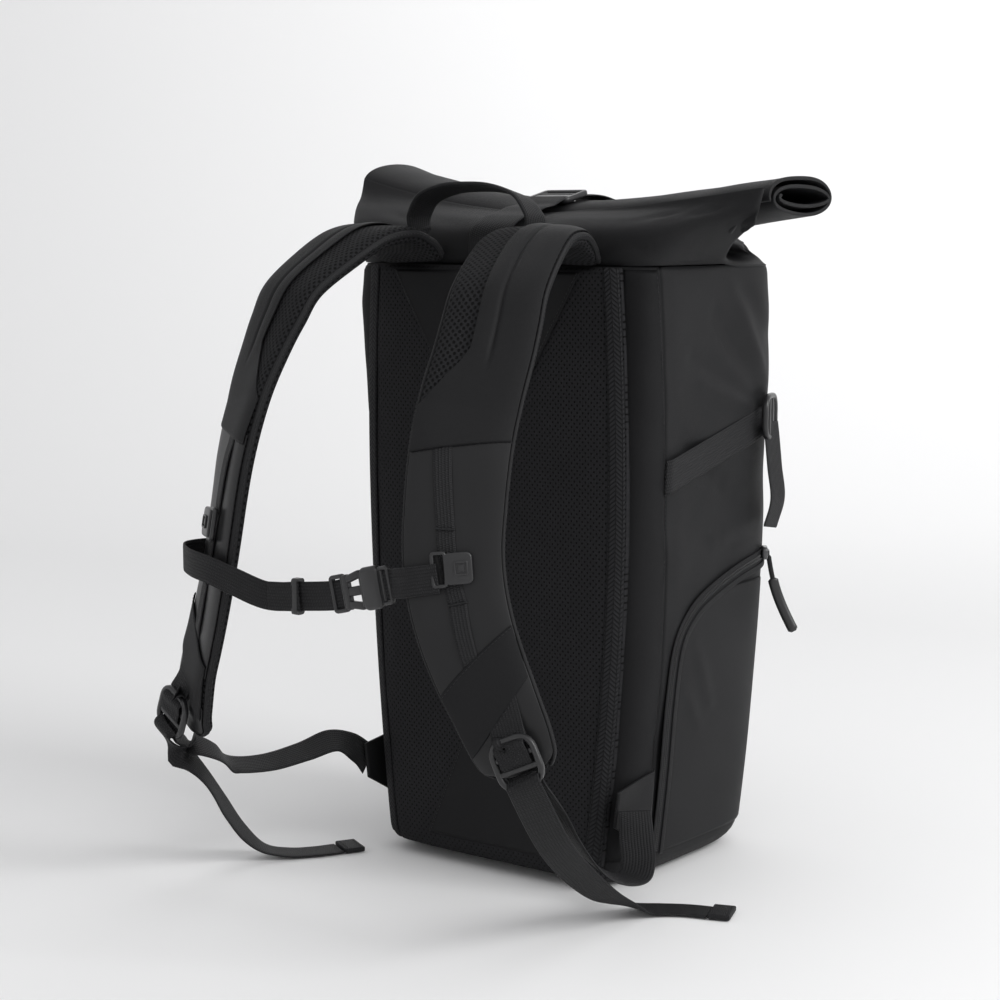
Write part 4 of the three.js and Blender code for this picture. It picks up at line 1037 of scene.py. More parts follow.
@dataclass
class RollTop:
    """The collar drawn flat to a ridge, its tucked gussets, and the roll that it is wound into."""

    wardrobe: Wardrobe
    shell: PackShell
    half_length: float = 198
    shift: float = 7
    yaw: float = 28
    rise: float = 37
    left_ear: float = 31
    right_ear: float = 17
    gusset: float = 60
    cloth_height: float = 112
    roll_rise: float = 31
    roll_half: tuple[float, float] = (47, 18.5)
    rows: Sequence[tuple[float, float, float, float, float]] = (
        (0, -94, 0, 92, 0), (0.2, -95, 0.36, 78, 0.1), (0.4, -92, 0.66, 55, 0.2),
        (0.6, -81, 0.84, 25, 0.26), (0.8, -68, 0.94, -14, 0.24), (0.93, -60, 0.99, -46, 0.38),
        (1, -56.8, 1.02, -52.2, 0.98))

    def ear(self, x: Array) -> Array:
        """How much higher the ridge stands at x than at its middle."""
        share = np.abs(x - self.shift) / self.half_length
        return np.where(x < self.shift, self.left_ear, self.right_ear) * share**1.6

    def yaw_at(self, x: Array) -> Array:
        """How far the ridge has swung forwards at x."""
        left = np.clip((self.shift + self.half_length - x) / (2 * self.half_length), 0, 1)
        return self.yaw * left**2

    def ring(self, row: Array, turns: Array) -> Array:
        """One section of the collar.

        Args:
            row: How far up it is, then y and rise at the back and the front.
            turns: Angles about the middle.

        Returns:
            A ring of points.
        """
        up, back_y, back_rise, front_y, front_rise = row
        up = float(np.clip(up, 0, 1))
        across = np.cos(turns)
        square = 2 / self.shell.exponent(np.sin(turns))
        side = power(np.sin(turns), square)
        deep = np.where(across > 0, self.gusset, 0.12 * self.gusset)
        deep = deep * max(0.0, math.sin(math.pi * up**1.2)) ** 0.9
        near = np.clip(1 - np.abs(side - 0.48) / 0.48, 0, 1)
        tuck = deep * np.sin(math.pi / 2 * near) ** 1.3 * (np.abs(across) > 0.5)
        half = mix(self.shell.half_widths[2], self.half_length, up ** np.where(across > 0, 1.3, 1.15))
        half = half * np.where(across > 0, 1, 1 - 0.045 * up**6)
        x = half * power(across, mix(square, 0.6, up)) + self.shift * up
        rise = self.rise * mix(back_rise, front_rise, ((side + 1) / 2) ** 0.5) + self.ear(x) * up
        y = (back_y + front_y) / 2 + (front_y - back_y) / 2 * side + self.yaw_at(x) * up**2
        return np.stack([x - np.sign(across) * tuck, y, self.shell.rim_height + 0.3 + rise], axis=-1)

    def quarter(self, square: float) -> Array:
        """Turns of a quarter of the foot's section that lie evenly along it.

        Args:
            square: The power that squares the section.

        Returns:
            The turns.
        """
        share = np.linspace(0, 1, 3001)
        turns = share**5 / (share**5 + (1 - share) ** 5) * math.pi / 2
        place = np.stack([self.shell.half_widths[2] * np.abs(np.cos(turns)) ** square,
                          self.shell.back_depth * np.sin(turns) ** square], axis=1)
        travelled = travelled_along(place)
        return np.interp(np.linspace(0, travelled[-1], 71), travelled, turns)

    def build(self) -> None:
        """Makes the collar, the roll and their seams."""
        front = self.quarter(2 / self.shell.squareness)
        back = self.quarter(2 / self.shell.back_squareness)
        turns = np.concatenate([front[:-1], math.pi - front[::-1][:-1], math.pi + back[:-1],
                                2 * math.pi - back[::-1][:-1]])
        table = np.array(self.rows)
        numbers = np.linspace(0, len(table) - 1, 64)
        outer = np.stack([self.ring(row, turns) for row in at_rows(table, numbers)])
        flat = lengths_of(np.concatenate([outer, outer[:, :1]], axis=1))
        wrapped = np.concatenate([outer[:, -1:], outer, outer[:, :1]], axis=1)
        normals = normals_of(wrapped)[:, 1:-1]
        depth = self.folds(outer)
        depth += 1.2 * np.exp(-(((outer[..., 2] - self.shell.rim_height) / 2.5) ** 2))
        outer = outer - normals * depth[..., None]
        inner = outer - normals * 1.6
        self.tube("collar_cloth", outer, inner, flat)
        self.roll()

    def tube(self, name: str, outer: Array, inner: Array, flat: Array) -> None:
        """Makes the open sleeve from its outer and inner rings.

        Args:
            name: The piece's name.
            outer: Rings of the outside.
            inner: Rings of the inside.
            flat: Flat coordinates of the outside.
        """
        rows, size, _ = outer.shape
        rings = np.concatenate([outer, inner[::-1]])
        faces = []
        flats = []
        wide = size + 1
        doubled = np.concatenate([flat, flat[::-1]])
        for r in range(2 * rows):
            s = (r + 1) % (2 * rows)
            for c in range(size):
                d = (c + 1) % size
                faces.append([r * size + c, r * size + d, s * size + d, s * size + c])
                flats.append([r * wide + c, r * wide + c + 1, s * wide + c + 1, s * wide + c])
        collar = outward(mesh_object(name, rings.reshape(-1, 3), faces, doubled.reshape(-1, 2), flats))
        self.wardrobe.dress(collar, NYLON, ["collar"])

    def folds(self, grid: Array) -> Array:
        """The long creases from the strap roots and the gussets to the ears.

        Args:
            grid: Points of the collar.

        Returns:
            How far to push each point in.
        """
        calm = np.clip((grid[..., 2] - self.shell.rim_height) / 12, 0, 1)
        creases = [
            ((70, -94, 461), (165, -62, 503), 4.5, 3.0), ((84, -94, 462), (168, -60, 500), 4.5, -2.4),
            ((98, -94, 460), (172, -62, 496), 5, 3.2), ((-60, -92, 470), (-150, -60, 515), 7, 1.6),
            ((-100, -92, 464), (-170, -50, 505), 9, -1.6), ((120, -94, 470), (140, -88, 462), 6, 1.2),
            ((0, -93, 470), (40, -80, 488), 8, 1.0), ((-20, -93, 472), (-70, -78, 492), 8, 1.0)]
        total = ripple(grid, 33, 90, 0.7)
        for start, end, width, deep in creases:
            total += crease(grid, start, end, width, deep)
        return total * calm

    def centre(self, x: Array) -> Array:
        """The height of the roll's middle at x."""
        return self.shell.rim_height + self.roll_rise + self.ear(x)

    def top(self, y: float) -> float:
        """The height of the roll's top over the middle of the pack.

        Args:
            y: The depth.

        Returns:
            The height.
        """
        deep, high = self.roll_half
        share = (y - float(self.yaw_at(np.array(0.0)))) / deep
        return float(self.centre(np.array(0.0))) + high * math.sqrt(max(0.0, 1 - share**2))

    def roll(self) -> None:
        """Makes the wound sheet, seen as a spiral at both its ends."""
        x = self.shift + crowded(121) * self.half_length
        turn = np.linspace(0, 2.1, 150)
        angle = 1.05 * math.pi - 2 * math.pi * turn
        lost = 6 * turn + 2
        uneven = 1 + 0.05 * np.sin(turn * 9)
        deep, high = self.roll_half
        y = self.yaw_at(x)[None, :] + ((deep - lost) * np.cos(angle) * uneven)[:, None]
        z = self.centre(x)[None, :] + ((high - lost) * np.sin(angle))[:, None]
        grid = np.stack([np.broadcast_to(x[None, :], y.shape), y, z], axis=-1)
        grid = grid - normals_of(grid) * (ripple(grid, 5, 70, 0.6))[..., None]
        roll = outward(sheet_object("rolled_cloth", grid, 2.6))
        self.wardrobe.dress(roll, NYLON, ["roll"])
        length = float(np.linalg.norm(np.diff(grid[:, 60], axis=0), axis=1).sum())


@dataclass
class StrapTable:
    """The padded strap's run, as rows of out, spread, fall, width, thickness and splay."""

    side: Side
    drop: float
    width: float = 66
    thickness: float = 14
    root: tuple[float, float, float] = (68, -98.5, 458.3)
    spread: float = 83
    reach: float = 173
    rows: Sequence[tuple[float, float, float, float, float, float]] = (
        (0, 0, 0, 0.8, 0.3, 0), (0.035, 0.01, -0.008, 0.92, 0.6, 0), (0.102, 0.035, -0.033, 1, 0.95, 0),
        (0.205, 0.08, -0.052, 1.03, 1.05, 2), (0.338, 0.133, -0.042, 1.03, 1.05, 6),
        (0.488, 0.217, 0.003, 1.03, 1.05, 10), (0.627, 0.307, 0.06, 1.02, 1.05, 15),
        (0.697, 0.345, 0.12, 1.02, 1.05, 19), (0.76, 0.368, 0.18, 1.01, 1, 23),
        (0.835, 0.38, 0.254, 1, 1, 27),
        (0.893, 0.385, 0.33, 0.99, 0.98, 30), (0.934, 0.4, 0.404, 0.98, 0.96, 31),
        (0.963, 0.413, 0.479, 0.97, 0.94, 32), (0.986, 0.433, 0.554, 0.96, 0.92, 32),
        (0.997, 0.482, 0.629, 0.95, 0.9, 32), (0.997, 0.566, 0.704, 0.93, 0.88, 31),
        (0.986, 0.68, 0.779, 0.9, 0.86, 30), (0.968, 0.814, 0.853, 0.86, 0.84, 28),
        (0.94, 0.934, 0.928, 0.82, 0.82, 26), (0.92, 0.985, 0.965, 0.74, 0.78, 25),
        (0.908, 1.01, 0.99, 0.5, 0.6, 25))

    def frames(self, rows: Array) -> tuple[Array, Array, Array, Array, Array, Array]:
        """Place, across, along, out, half width and half thickness at row numbers.

        Args:
            rows: Row numbers.

        Returns:
            All six, for each number.
        """
        table = np.array(self.rows)
        values = at_rows(table, rows)
        step = 0.02
        before = self.places(at_rows(table, np.asarray(rows) - step))
        after = self.places(at_rows(table, np.asarray(rows) + step))
        along = unit(after - before)
        splay = np.radians(values[..., 5])
        across = np.stack([np.cos(splay), np.sin(splay), 0 * splay], axis=-1)
        across = unit(across - along * (across * along).sum(axis=-1, keepdims=True))
        out = np.cross(along, across)
        return (self.places(values), across, along, out, values[..., 3] * self.width / 2,
                values[..., 4] * self.thickness / 2)

    def places(self, values: Array) -> Array:
        """The middle line's points of table rows.

        Args:
            values: Rows of the table.

        Returns:
            The points.
        """
        out, spread, fall = values[..., 0], values[..., 1], values[..., 2]
        return np.stack([self.root[0] + spread * self.spread, self.root[1] - out * self.reach,
                         self.root[2] - fall * self.drop], axis=-1)

    def on(self, rows: Array, across: Array, lift: Array | float) -> Array:
        """Points over the strap's outer face, on the right-hand strap.

        Args:
            rows: Row numbers.
            across: From -1 at the inner edge to 1 at the outer edge.
            lift: How far above the pad's face.

        Returns:
            The points.
        """
        place, wide, _, out, half, deep = self.frames(rows)
        crown = deep * (1 - 0.5 * np.abs(across) ** 5) + lift
        return place + wide * (across * half)[..., None] + out * crown[..., None]

    def sided(self, grid: Array) -> Array:
        """Mirrors a grid for the left strap and keeps its faces the same way out."""
        return grid if self.side is Side.RIGHT else mirrored(grid)


@dataclass
class ShoulderStrap:
    """One padded strap with its facings, rail, patch, tip, bindings and stitches."""

    wardrobe: Wardrobe
    table: StrapTable
    panel: tuple[float, float, float, float] = (10.4, 16.7, 9.85, 15.7)
    patch: tuple[float, float, float, float] = (16.3, 18.0, 15.3, 16.7)
    tip: tuple[float, float, float, float] = (17.6, 20.2, 16.3, 20.2)
    tacks: tuple[float, float] = (12.5, 14.4)
    rail_size: tuple[float, float] = (13, 137)
    mesh_edge: Sequence[tuple[float, float]] = (
        (0.4, -0.1), (3.9, -0.1), (4.7, -0.17), (6, -0.2), (8.3, -0.22), (8.7, -0.36), (9.1, -0.6),
        (9.55, -0.85), (9.75, -1.0))

    @property
    def label(self) -> str:
        """The strap's side, as its pieces' names end with it."""
        return self.table.side.label

    def build(self) -> None:
        """Makes every layer of the strap."""
        self.pad()
        self.upper_cloth()
        self.layer("panel", self.panel[:2], self.panel[2:], SMOOTH, "strap_panel", 1.3)
        self.layer("tip", self.tip[:2], self.tip[2:], SMOOTH, "strap_tip", 1.3)
        self.layer("patch", self.patch[:2], self.patch[2:], FACING, "strap_patch", 2.9)
        self.rail()
        self.bindings()

    def pad(self) -> None:
        """Makes the foam pad in its mesh cover."""
        rows = np.concatenate([np.linspace(0, 19, 230), np.linspace(19, 20, 16)[1:]])
        turns = np.arange(44) / 44 * 2 * math.pi
        place, wide, _, out, half, deep = self.table.frames(rows)
        across = power(np.cos(turns), 0.42)
        height = power(np.sin(turns), 0.55)
        grid = (place[:, None] + wide[:, None] * across[None, :, None] * half[:, None, None]
                + out[:, None] * height[None, :, None] * deep[:, None, None])
        grid = self.table.sided(grid)
        closed = np.concatenate([grid, grid[:, :1]], axis=1)
        body = outward(loft_object(f"strap_pad_{self.label}", grid, lengths_of(closed)))
        self.wardrobe.dress(body, STRAP_MESH, [f"shoulder_pad_{self.label}"])

    def upper_cloth(self) -> None:
        """Makes the nylon facing of the upper strap, with its pressed seam, beside the open mesh."""
        rows = np.linspace(0.5, 10.9, 160)
        edge = np.interp(rows, [row[0] for row in self.mesh_edge], [row[1] for row in self.mesh_edge])
        share = (crowded(60) + 1) / 2
        across = mix(edge[:, None], 1.0, share[None, :])
        hem = mix(10.65, 10.1, (across + 1) / 2)
        number = 0.5 + (hem - 0.5) * ((rows - 0.5) / 10.4)[:, None]
        seam = np.interp(rows, [1, 4, 5.2, 8.3], [0.34, 0.3, 0.22, 0.2])[:, None]
        fade = np.clip((8.6 - number) / 0.8, 0, 1)
        groove = 1.6 * np.exp(-(((across - seam) * 33 / 1.6) ** 2)) * fade
        swell = 1.1 * np.exp(-(((across - seam + 0.26) * 33 / 7) ** 2)) * fade
        lift = 1.0 + 2.2 * np.clip(number - 9.4, 0, 1) + swell - groove
        grid = self.table.sided(self.table.on(number, across, lift))
        cloth = outward(sheet_object(f"strap_cloth_{self.label}", grid, 1.0))
        self.wardrobe.dress(cloth, NYLON)

    def layer(self, name: str, left: Sequence[float], right: Sequence[float], finish: Finish,
              node: str, lift: float) -> None:
        """Makes one facing of the lower strap between two slanted edges.

        Args:
            name: Its short name.
            left: First and last row at its inner edge.
            right: First and last row at its outer edge.
            finish: Its finish.
            node: The frame's node that it stands for, without its side.
            lift: How far above the pad's face it lies.
        """
        across = crowded(51)
        share = (across[None, :] + 1) / 2
        first = mix(left[0], right[0], share)
        last = mix(left[1], right[1], share)
        rows = mix(first, last, np.linspace(0, 1, 70)[:, None])
        across_grid = np.broadcast_to(across[None, :], rows.shape)
        if left[1] > 20:
            rows = np.minimum(rows, 19.9 - 0.9 * np.abs(across_grid) ** 4)
        grid = self.table.sided(self.table.on(rows, across_grid, lift))
        facing = outward(sheet_object(f"strap_{name}_cloth_{self.label}", grid, 1.1))
        self.wardrobe.dress(facing, finish, [f"{node}_{self.label}"])
        edge = self.table.sided(self.table.on(rows[3:4], across_grid[3:4], lift + 0.6))[0]
        _, _, _, out, _, _ = self.table.frames(rows[3])
        up = out if self.table.side is Side.RIGHT else out[::-1] * [-1, 1, 1]
        run = stitches(f"strap_{name}_stitches_{self.label}", edge, up, pitch=3.0, length=2.0)
        self.wardrobe.dress(run, THREAD)

    def rail(self) -> None:
        """Makes the narrow webbing that the chest strap slides on, with its bartacks."""
        rows = np.linspace(10.35, 16.1, 90)
        number, share = np.meshgrid(rows, crowded(11), indexing="ij")
        width, length = self.rail_size
        wide = self.rail_middle(number) + share * width / self.table.width
        first, second = self.tacks
        held = 0.9 * np.abs(np.sin((number - first) * math.pi / (second - first))) ** 0.5
        held = held * np.clip((number - 10.6) * (15.9 - number), 0, 1)
        grid = self.table.sided(self.table.on(number, wide, 2.0 + held))
        web = outward(sheet_object(f"rail_webbing_{self.label}", grid, 1.4))
        self.wardrobe.dress(web, WEBBING, [f"rail_web_{self.label}"])
        f"strap_panel_cloth_{self.label}"
        for index, row in enumerate(self.tacks):
            line = self.table.on(np.full(12, row), self.rail_middle(row) + np.linspace(-0.2, 0.2, 12), 3.4)
            out = self.table.frames(np.full(12, row))[3]
            if self.table.side is Side.LEFT:
                line, out = line[::-1] * [-1, 1, 1], out[::-1] * [-1, 1, 1]
            tack = stitches(f"bartack_{index}_{self.label}", line, out, pitch=0.8, length=0.7, width=1.8)
            self.wardrobe.dress(tack, THREAD)

    @staticmethod
    def rail_middle(rows: Array | float) -> Array:
        """Where the rail's middle lies across the strap, at row numbers."""
        return np.interp(rows, (10.5, 12.5, 14.4, 16), (-0.34, -0.14, 0.0, -0.1))

    def bindings(self) -> None:
        """Lays a stitched binding down each edge of the strap."""
        rows = np.concatenate([np.linspace(0.6, 19, 200), np.linspace(19, 19.8, 12)[1:]])
        place, wide, _, out, half, _ = self.table.frames(rows)
        for name, sign in (("outer", 1), ("inner", -1)):
            line = place + wide * (sign * (half + 0.6))[:, None] + out * 1.0
            up = wide * sign
            if self.table.side is Side.LEFT:
                line, up = line * [-1, 1, 1], up * [-1, 1, 1]
            cord = tube_object(f"binding_{name}_{self.label}", line, 2.6, up, squash=0.55)
            self.wardrobe.dress(cord, PIPING)
            run = stitches(f"binding_stitches_{name}_{self.label}", line + up * 1.5, up,
                           pitch=3.0, length=2.1, width=0.55)
            self.wardrobe.dress(run, THREAD)


@dataclass
class Bands:
    """Makes the loose, folded and hanging webbing."""

    wardrobe: Wardrobe
    width: float = 25
    thickness: float = 1.6

    @staticmethod
    def grid(rows: Sequence[Sequence[float]], count: int, width: float) -> Array:
        """A band's middle surface.

        Args:
            rows: x, y, z and the way that its width runs, at each point.
            count: How many rows of points to make.
            width: Its width.

        Returns:
            A grid of points.
        """
        table = np.array(rows, float)
        filled = at_rows(table, np.linspace(0, len(table) - 1, count))
        place, turn = filled[:, :3], filled[:, 3:6]
        along = unit(np.gradient(place, axis=0))
        across = unit(turn - along * (turn * along).sum(axis=1, keepdims=True))
        share = crowded(11)
        return place[:, None] + across[:, None] * (share * width / 2)[None, :, None]

    def make(self, name: str, rows: Sequence[Sequence[float]], node: str | None, count: int = 120,
             width: float | None = None, thickness: float | None = None, cloth: bool = False,
             ) -> bpy.types.Object:
        """Makes one band of webbing.

        Args:
            name: The piece's name.
            rows: x, y, z and the way that its width runs, at each point.
            node: The frame's node that it stands for, or None.
            count: How many rows of points to make.
            width: Its width, or None for the usual one.
            thickness: Its thickness, or None for the usual one.
            cloth: Whether its length along the middle is measured; the length is not used.

        Returns:
            The new object.
        """
        wide = width or self.width
        grid = self.grid(rows, count, wide)
        web = outward(sheet_object(name, grid, thickness or self.thickness))
        self.wardrobe.dress(web, WEBBING, [node] if node else [])
        if cloth:
            length = float(np.linalg.norm(np.diff(grid[:, 5], axis=0), axis=1).sum())
        return web


def lock_frame(table: StrapTable) -> tuple[Array, Array, Array, Array]:
    """Where a strap's ladder lock hangs: its place, and the ways across, along and out, on the right.

    Args:
        table: The strap's run.

    Returns:
        The place and the three ways.
    """
    place = table.on(np.array(18.6), np.array(0.14), 10.6)
    facing, lean = math.radians(12), math.radians(24)
    level = np.array([math.cos(facing), math.sin(facing), 0])
    across = level * math.cos(lean) + np.array([0, 0, math.sin(lean)])
    along = level * math.sin(lean) - np.array([0, 0, math.cos(lean)])
    return place, across, along, np.cross(along, across)


# Hard pieces, shaped with edit mode's tools
def only(made: bpy.types.Object) -> None:
    """Selects one object alone and makes it active.

    Args:
        made: The object.
    """
    bpy.ops.object.select_all(action="DESELECT")
    made.select_set(True)
    bpy.context.view_layer.objects.active = made


def with_modifier(made: bpy.types.Object, kind: str, **settings: object) -> None:
    """Adds a modifier, sets it and applies it.

    Args:
        made: The object.
        kind: The modifier's type.
        settings: Its properties.
    """
    only(made)
    modifier = made.modifiers.new(kind.title(), kind)
    for key, value in settings.items():
        setattr(modifier, key, value)
    bpy.ops.object.modifier_apply(modifier=modifier.name)


def framed_plate(name: str, size: tuple[float, float], corner: float, thickness: float, round_edge: float,
                 rim: float = 0.0) -> bpy.types.Object:
    """Makes a flat plate with round corners, open in the middle where it has a rim.

    Args:
        name: The object's name.
        size: Its width and length.
        corner: The radius of its corners.
        thickness: Its thickness.
        round_edge: The radius of its edges.
        rim: The width of its rim, or 0 for a whole plate.

    Returns:
        The new object, centred on the origin in its own plane.
    """
    bpy.ops.object.select_all(action="DESELECT")
    bpy.ops.mesh.primitive_plane_add(size=1)
    made = bpy.context.object
    made.name = name
    made.data.name = name
    bpy.ops.object.mode_set(mode="EDIT")
    bpy.ops.mesh.select_all(action="SELECT")
    bpy.ops.transform.resize(value=(size[0] * MM, size[1] * MM, 1))
    bpy.ops.mesh.bevel(offset=corner * MM, segments=6, affect="VERTICES")
    if rim:
        bpy.ops.mesh.select_all(action="SELECT")
        bpy.ops.mesh.inset(thickness=rim * MM, depth=0)
        bpy.ops.mesh.delete(type="FACE")
    bpy.ops.object.mode_set(mode="OBJECT")
    with_modifier(made, "SOLIDIFY", thickness=thickness * MM, offset=0)
    with_modifier(made, "BEVEL", width=round_edge * MM, segments=3, limit_method="ANGLE",
                  angle_limit=math.radians(40))
    return made


def bar(name: str, size: tuple[float, float, float], place: tuple[float, float, float], round_edge: float,
        ) -> bpy.types.Object:
    """Makes a bar with round edges at a place.

    Args:
        name: The object's name.
        size: Its size along x, y and z.
        place: Its middle.
        round_edge: The radius of its edges.

    Returns:
        The new object.
    """
    bpy.ops.object.select_all(action="DESELECT")
    bpy.ops.mesh.primitive_cube_add(size=1)
    made = bpy.context.object
    made.name = name
    bpy.ops.object.mode_set(mode="EDIT")
    bpy.ops.mesh.select_all(action="SELECT")
    bpy.ops.transform.resize(value=tuple(length * MM for length in size))
    bpy.ops.mesh.bevel(offset=round_edge * MM, segments=3, affect="EDGES")
    bpy.ops.transform.translate(value=tuple(length * MM for length in place))
    bpy.ops.object.mode_set(mode="OBJECT")
    return made


def joined(name: str, parts: Sequence[bpy.types.Object]) -> bpy.types.Object:
    """Joins objects into the first one.

    Args:
        name: The whole's name.
        parts: What is joined.

    Returns:
        The first object.
    """
    bpy.ops.object.select_all(action="DESELECT")
    for part in parts:
        part.select_set(True)
    bpy.context.view_layer.objects.active = parts[0]
    bpy.ops.object.join()
    parts[0].name = name
    parts[0].data.name = name
    return parts[0]


def moved(made: bpy.types.Object, x: float, y: float, z: float = 0.0) -> bpy.types.Object:
    """Moves a piece's mesh away from the origin."""
    made.data.transform(Matrix.Translation((x * MM, y * MM, z * MM)))
    return made


def seated(made: bpy.types.Object, place: Array, across: Array, along: Array, mirror: bool = False,
           ) -> bpy.types.Object:
    """Puts a piece's x along across and its y along along, at a place, in its mesh.

    Args:
        made: The object, with its mesh about the origin.
        place: Where its middle goes.
        across: The way of its x.
        along: The way of its y.
        mirror: Whether it then goes to the left side.

    Returns:
        The same object.
    """
    normal = np.cross(across, along)
    columns = np.stack([across, along, normal], axis=1)
    matrix = Matrix([[*columns[k], place[k] * MM] for k in range(3)] + [[0, 0, 0, 1]])
    if mirror:
        matrix = Matrix.Diagonal((-1, 1, 1, 1)) @ matrix
    made.data.transform(matrix)
    if mirror:
        made.data.flip_normals()
    only(made)
    bpy.ops.object.shade_smooth_by_angle(angle=math.radians(35))
    return made


def data_flat(made: bpy.types.Object) -> None:
    """Gives a flat piece the flat coordinates of its own x and y."""
    layer = made.data.uv_layers.get("UVMap") or made.data.uv_layers.new(name="UVMap")
    for loop in made.data.loops:
        place = made.data.vertices[loop.vertex_index].co
        layer.data[loop.index].uv = (place.x, place.y)


@dataclass
class Hardware:
    """The moulded locks, sliders and buckles."""

    lock_size: tuple[float, float] = (35, 36)

    def ladder_lock(self, name: str) -> bpy.types.Object:
        """Makes a ladder lock: a thick rounded rim with two bars and a pressed thumb lip.

        Args:
            name: The object's name.

        Returns:
            The new object.
        """
        wide, long = self.lock_size
        rim = framed_plate(name, (wide, long), 12, 4.6, 1.5, rim=4.0)
        bars = [bar(f"{name}_bar{k}", (wide - 5, 4.0, 3.2), (0, y, -0.2), 1.1)
                for k, y in enumerate((-4.9, 4.6))]
        lip = bar(f"{name}_lip", (wide - 9, 4.6, 2.4), (0, 13.2, 0.6), 1.0)
        return joined(name, [rim, *bars, lip])

    @staticmethod
    def slider(name: str) -> bpy.types.Object:
        """Makes a chest-strap slider: a round-cornered plate with a square well and a web bar.

        Args:
            name: The object's name.

        Returns:
            The new object.
        """
        plate = moved(framed_plate(name, (19, 21), 4, 3.6, 1.1), 4, 0)
        well = moved(framed_plate(f"{name}_well", (9.5, 9.5), 1.6, 1.4, 0.5, rim=1.5), 6, 0, 2.2)
        floor = moved(framed_plate(f"{name}_floor", (4.6, 4.6), 1.0, 1.0, 0.3), 6, 0, 1.8)
        web_bar = moved(framed_plate(f"{name}_bar", (11, 24), 3, 3.4, 1.1, rim=2.6), -8.5, 0)
        return joined(name, [plate, well, floor, web_bar])

    @staticmethod
    def socket(name: str) -> bpy.types.Object:
        """Makes the buckle's socket: a ribbed shell with a mouth and a loop for the web.

        Args:
            name: The object's name.

        Returns:
            The new object.
        """
        shell = moved(framed_plate(name, (29, 16), 4, 8.4, 2.6), 0, 3.5)
        mouth = moved(framed_plate(f"{name}_mouth", (24, 6), 2, 7.0, 1.8), 0, 10)
        loop = moved(framed_plate(f"{name}_loop", (26, 11), 3, 4.2, 1.4, rim=2.8), 0, -7.5)
        ridges = [bar(f"{name}_ridge{k}", (12, 1.0, 1.0), (0, y, 4.2), 0.4)
                  for k, y in enumerate((1, 3.5, 6))]
        return joined(name, [shell, mouth, loop, *ridges])

    @staticmethod
    def plug(name: str) -> bpy.types.Object:
        """Makes the buckle's plug: a loop for the web, a middle spine and two sprung arms.

        Args:
            name: The object's name.

        Returns:
            The new object.
        """
        loop = moved(framed_plate(name, (26, 13), 3.2, 5.2, 1.5, rim=3.0), 0, 7.0)
        root = bar(f"{name}_root", (24, 5, 5.6), (0, -0.5, 0), 1.6)
        spine = bar(f"{name}_spine", (6.4, 14, 4.0), (0, -7.5, 0), 1.4)
        arms = []
        for sign in (-1, 1):
            arm = bar(f"{name}_arm{sign + 1}", (5.2, 14, 5.0), (0, 0, 0), 1.4)
            arm.data.transform(Matrix.Rotation(sign * 0.22, 4, "Z"))
            moved(arm, sign * 9.6, -7.2)
            arms.append(arm)
        return joined(name, [loop, root, spine, *arms])

    @staticmethod
    def keeper(name: str) -> bpy.types.Object:
        """Makes the small loop that holds the chest strap's end."""
        return framed_plate(name, (25, 8), 2.2, 5, 0.9, rim=2.2)

    @staticmethod
    def hook(name: str) -> bpy.types.Object:
        """Makes the closure's hook buckle: a broad plate with a web slot and a raised rim.

        Args:
            name: The object's name.

        Returns:
            The new object.
        """
        rim = framed_plate(name, (41, 31), 5, 4.6, 1.5, rim=4.5)
        plate = moved(framed_plate(f"{name}_plate", (35, 13), 2, 3.4, 1.0), 0, -6.5)
        cross = bar(f"{name}_bar", (34, 3.6, 3.4), (0, 3.2, 0), 1.2)
        return joined(name, [rim, plate, cross])


